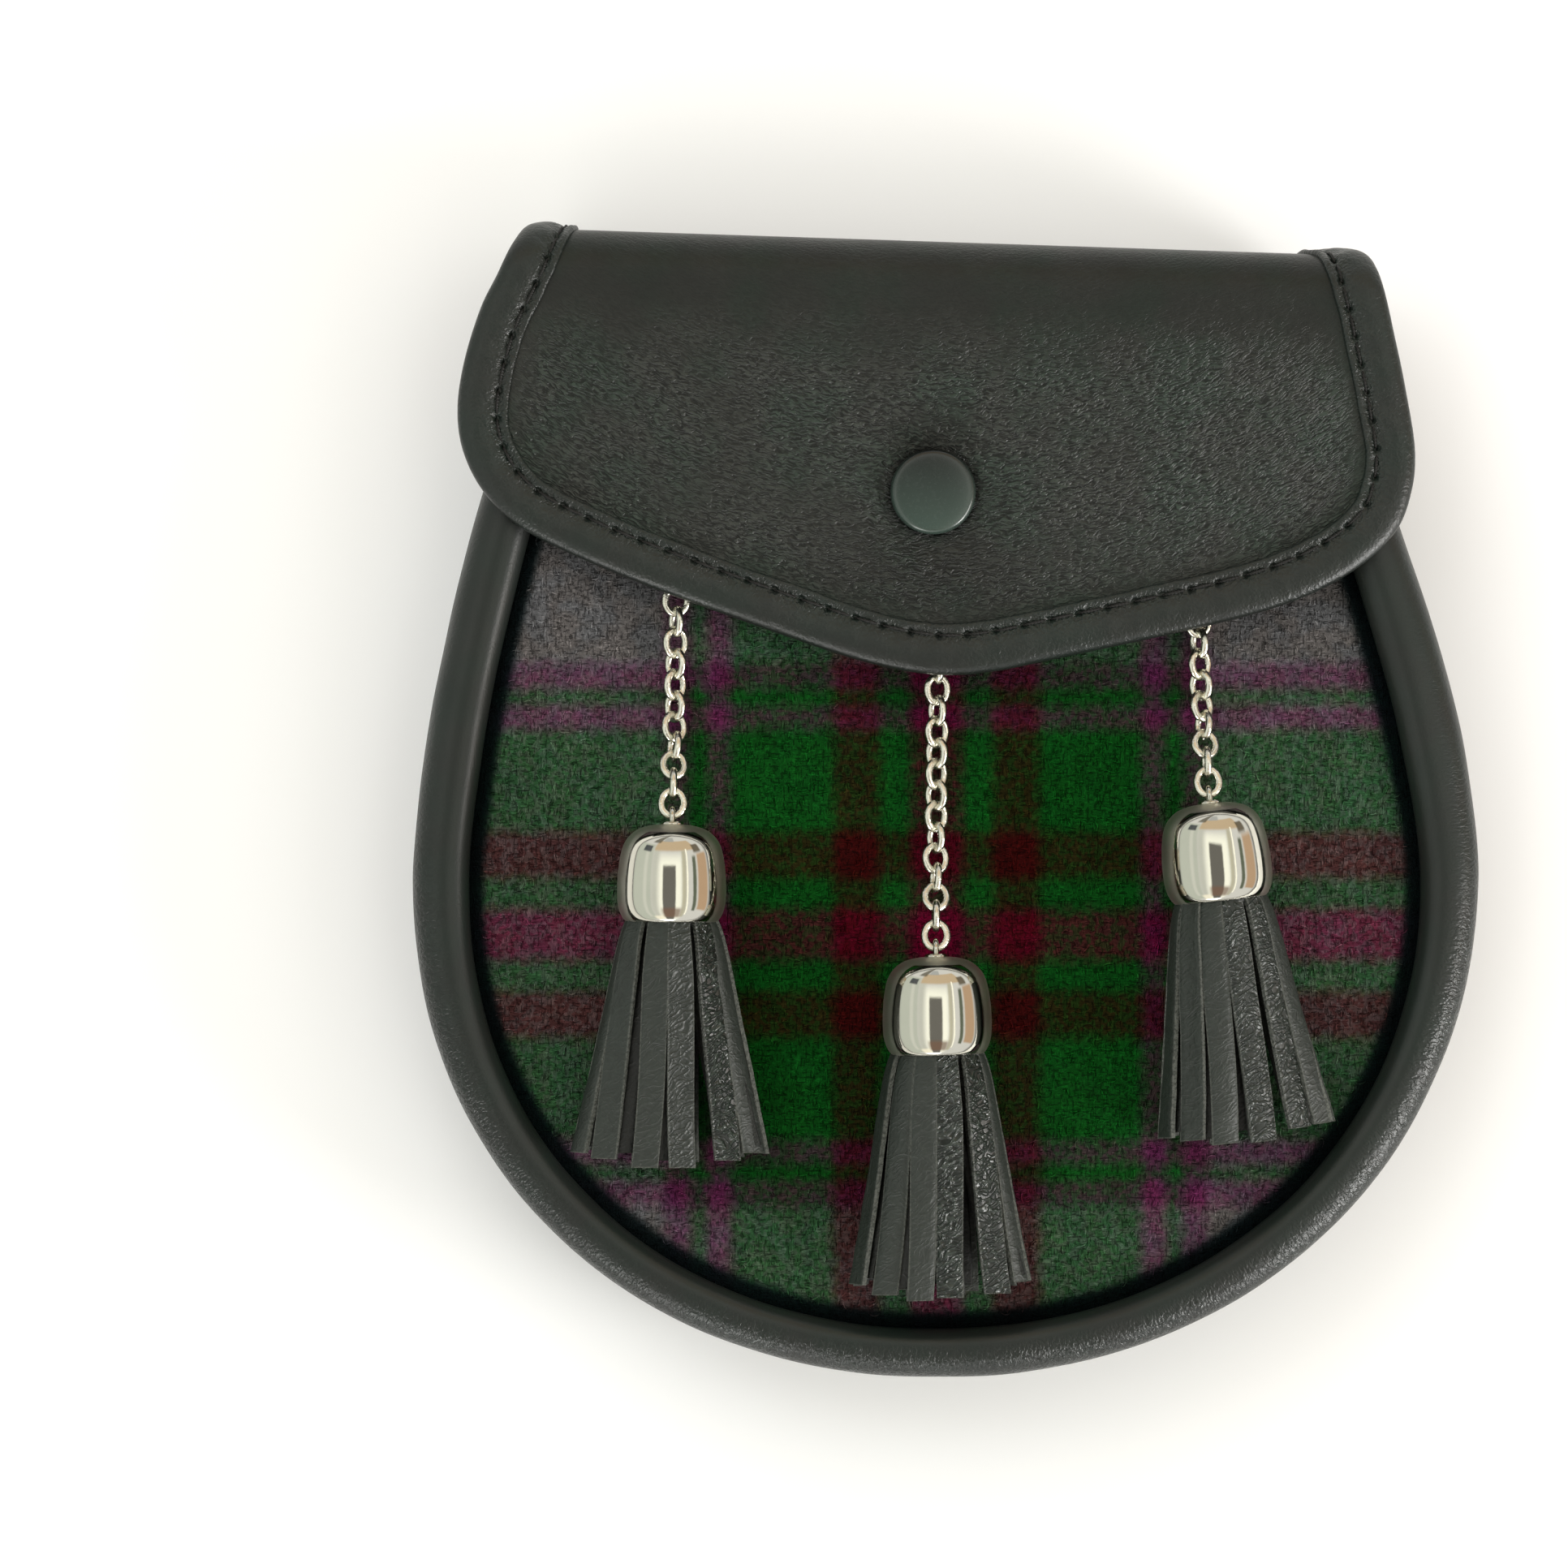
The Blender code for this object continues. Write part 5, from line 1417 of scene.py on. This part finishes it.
class POUCH_OT_studio(bpy.types.Operator):
    """Sets up the pale floor, the soft lights and the camera over the pouch"""

    bl_idname = "pouch.studio"
    bl_label = "Studio"

    def execute(self, context):
        settings = context.scene.pouch_studio
        self.floor(settings)
        self.room(context.scene, settings)
        lamps = [self.lamp(*lamp, settings.lamp) for lamp in LAMPS]
        self.spare_bells([lamp for lamp in lamps if lamp.visible_glossy])
        lens = bpy.data.cameras.new("camera")
        lens.lens, lens.sensor_width, lens.clip_start = CAMERA_LENS, 36.0, 0.05
        camera = bpy.data.objects.new("camera", lens)
        camera.location = (*CAMERA_AT, settings.height)
        context.scene.collection.objects.link(camera)
        context.scene.camera = camera
        context.scene.view_settings.view_transform = "Standard"
        return {"FINISHED"}

    def spare_bells(self, lamps):
        """Keeps the lamps' round spots off the bells, which mirror the room instead."""
        bells = bpy.data.collections.new("bells")
        for name in TASSELS:
            bells.objects.link(bpy.data.objects["bell_cup_" + name])
        for member in bells.collection_objects:
            member.light_linking.link_state = "EXCLUDE"
        for lamp in lamps:
            lamp.light_linking.receiver_collection = bells

    def floor(self, settings):
        mesh = bpy.data.meshes.new("studio_floor")
        corners = [(x * FLOOR_HALF, y * FLOOR_HALF, FLOOR_Z) for x, y in ((-1, -1), (1, -1), (1, 1), (-1, 1))]
        mesh.from_pydata(corners, [], [(0, 1, 2, 3)])

        def varied(g):
            return {"Base Color": g.shade(tuple(settings.floor), 0.985 + g.grain(g.place(), 90.0, 3.0) * 0.03)}

        mesh.materials.append(surface("studio_paper", varied, {"Roughness": 0.9, "Specular IOR Level": 0.1}))
        made = bpy.data.objects.new("studio_floor", mesh)
        bpy.context.scene.collection.objects.link(made)

    def room(self, scene, settings):
        """A soft pale room. Its window, beam, upright bar and floor show in the bells."""
        world = bpy.data.worlds.new("pale_room")
        world.use_nodes = True
        g = Graph(world.node_tree)
        x, y, z = g.parts(g.node("ShaderNodeTexCoord", output="Generated"))
        across = x.calc("ARCTAN2", z) * (180 / math.pi)
        up = y.calc("ARCSINE") * (180 / math.pi)

        def between(angle, low, high, soft):
            """1 between two angles and 0 beyond them."""
            return angle.ramp(low - soft, low + soft) * (1 - angle.ramp(high - soft, high + soft))

        tint = g.mix(z.ramp(-0.05, 0.14), (0.05, 0.05, 0.055), (1.0, 0.99, 0.975))
        tint = g.mix(z.ramp(-0.3, -0.05), (0.5, 0.5, 0.5), tint)
        for left, right, low, high, soft, share, shade in ROOM_PATCHES:
            inside = between(across, left, right, soft) * between(up, low, high, soft)
            tint = g.mix(inside * share, tint, shade)
        back = world.node_tree.nodes["Background"]
        world.node_tree.links.new(tint.socket, back.inputs["Color"])
        back.inputs["Strength"].default_value = settings.sky
        scene.world = world

    def lamp(self, name, at, size, share, tint, hidden_from, power):
        light = bpy.data.lights.new(name, "AREA")
        light.shape, light.size, light.energy, light.color = "DISK", size, share * power, tint
        made = bpy.data.objects.new(name, light)
        made.location = at
        made.rotation_euler = (-Vector(at)).to_track_quat("-Z", "Y").to_euler()
        if hidden_from:
            setattr(made, hidden_from, False)
        bpy.context.scene.collection.objects.link(made)
        return made


# ---------------------------------------------------------------- the add-on

STEPS = (
    POUCH_OT_cloth, POUCH_OT_fuzz, POUCH_OT_rims, POUCH_OT_body, POUCH_OT_flap, POUCH_OT_snap, POUCH_OT_chains,
    POUCH_OT_bells, POUCH_OT_fringes, POUCH_OT_studio,
)  # fmt: skip


class POUCH_PT_panel(bpy.types.Panel):
    """Lists the pieces of the pouch and what can be changed"""

    bl_idname = "POUCH_PT_panel"
    bl_label = "Sporran pouch"
    bl_space_type = "VIEW_3D"
    bl_region_type = "UI"
    bl_category = "Pouch"

    def draw(self, context):
        for step in STEPS:
            self.layout.operator(step.bl_idname)
        for group in (context.scene.pouch_colours, context.scene.pouch_sizes, context.scene.pouch_studio):
            column = self.layout.column()
            for name in group.__annotations__:
                column.prop(group, name)


CLASSES = (PouchColours, PouchSizes, StudioSettings, *STEPS, POUCH_PT_panel)
GROUPS = {"pouch_colours": PouchColours, "pouch_sizes": PouchSizes, "pouch_studio": StudioSettings}


def register():
    for found in CLASSES:
        bpy.utils.register_class(found)
    for name, group in GROUPS.items():
        setattr(bpy.types.Scene, name, PointerProperty(type=group))


def unregister():
    for name in GROUPS:
        delattr(bpy.types.Scene, name)
    for found in reversed(CLASSES):
        bpy.utils.unregister_class(found)


def main():
    register()
    for step in STEPS:
        family, name = step.bl_idname.split(".")
        getattr(getattr(bpy.ops, family), name)()


if __name__ == "__main__":
    main()
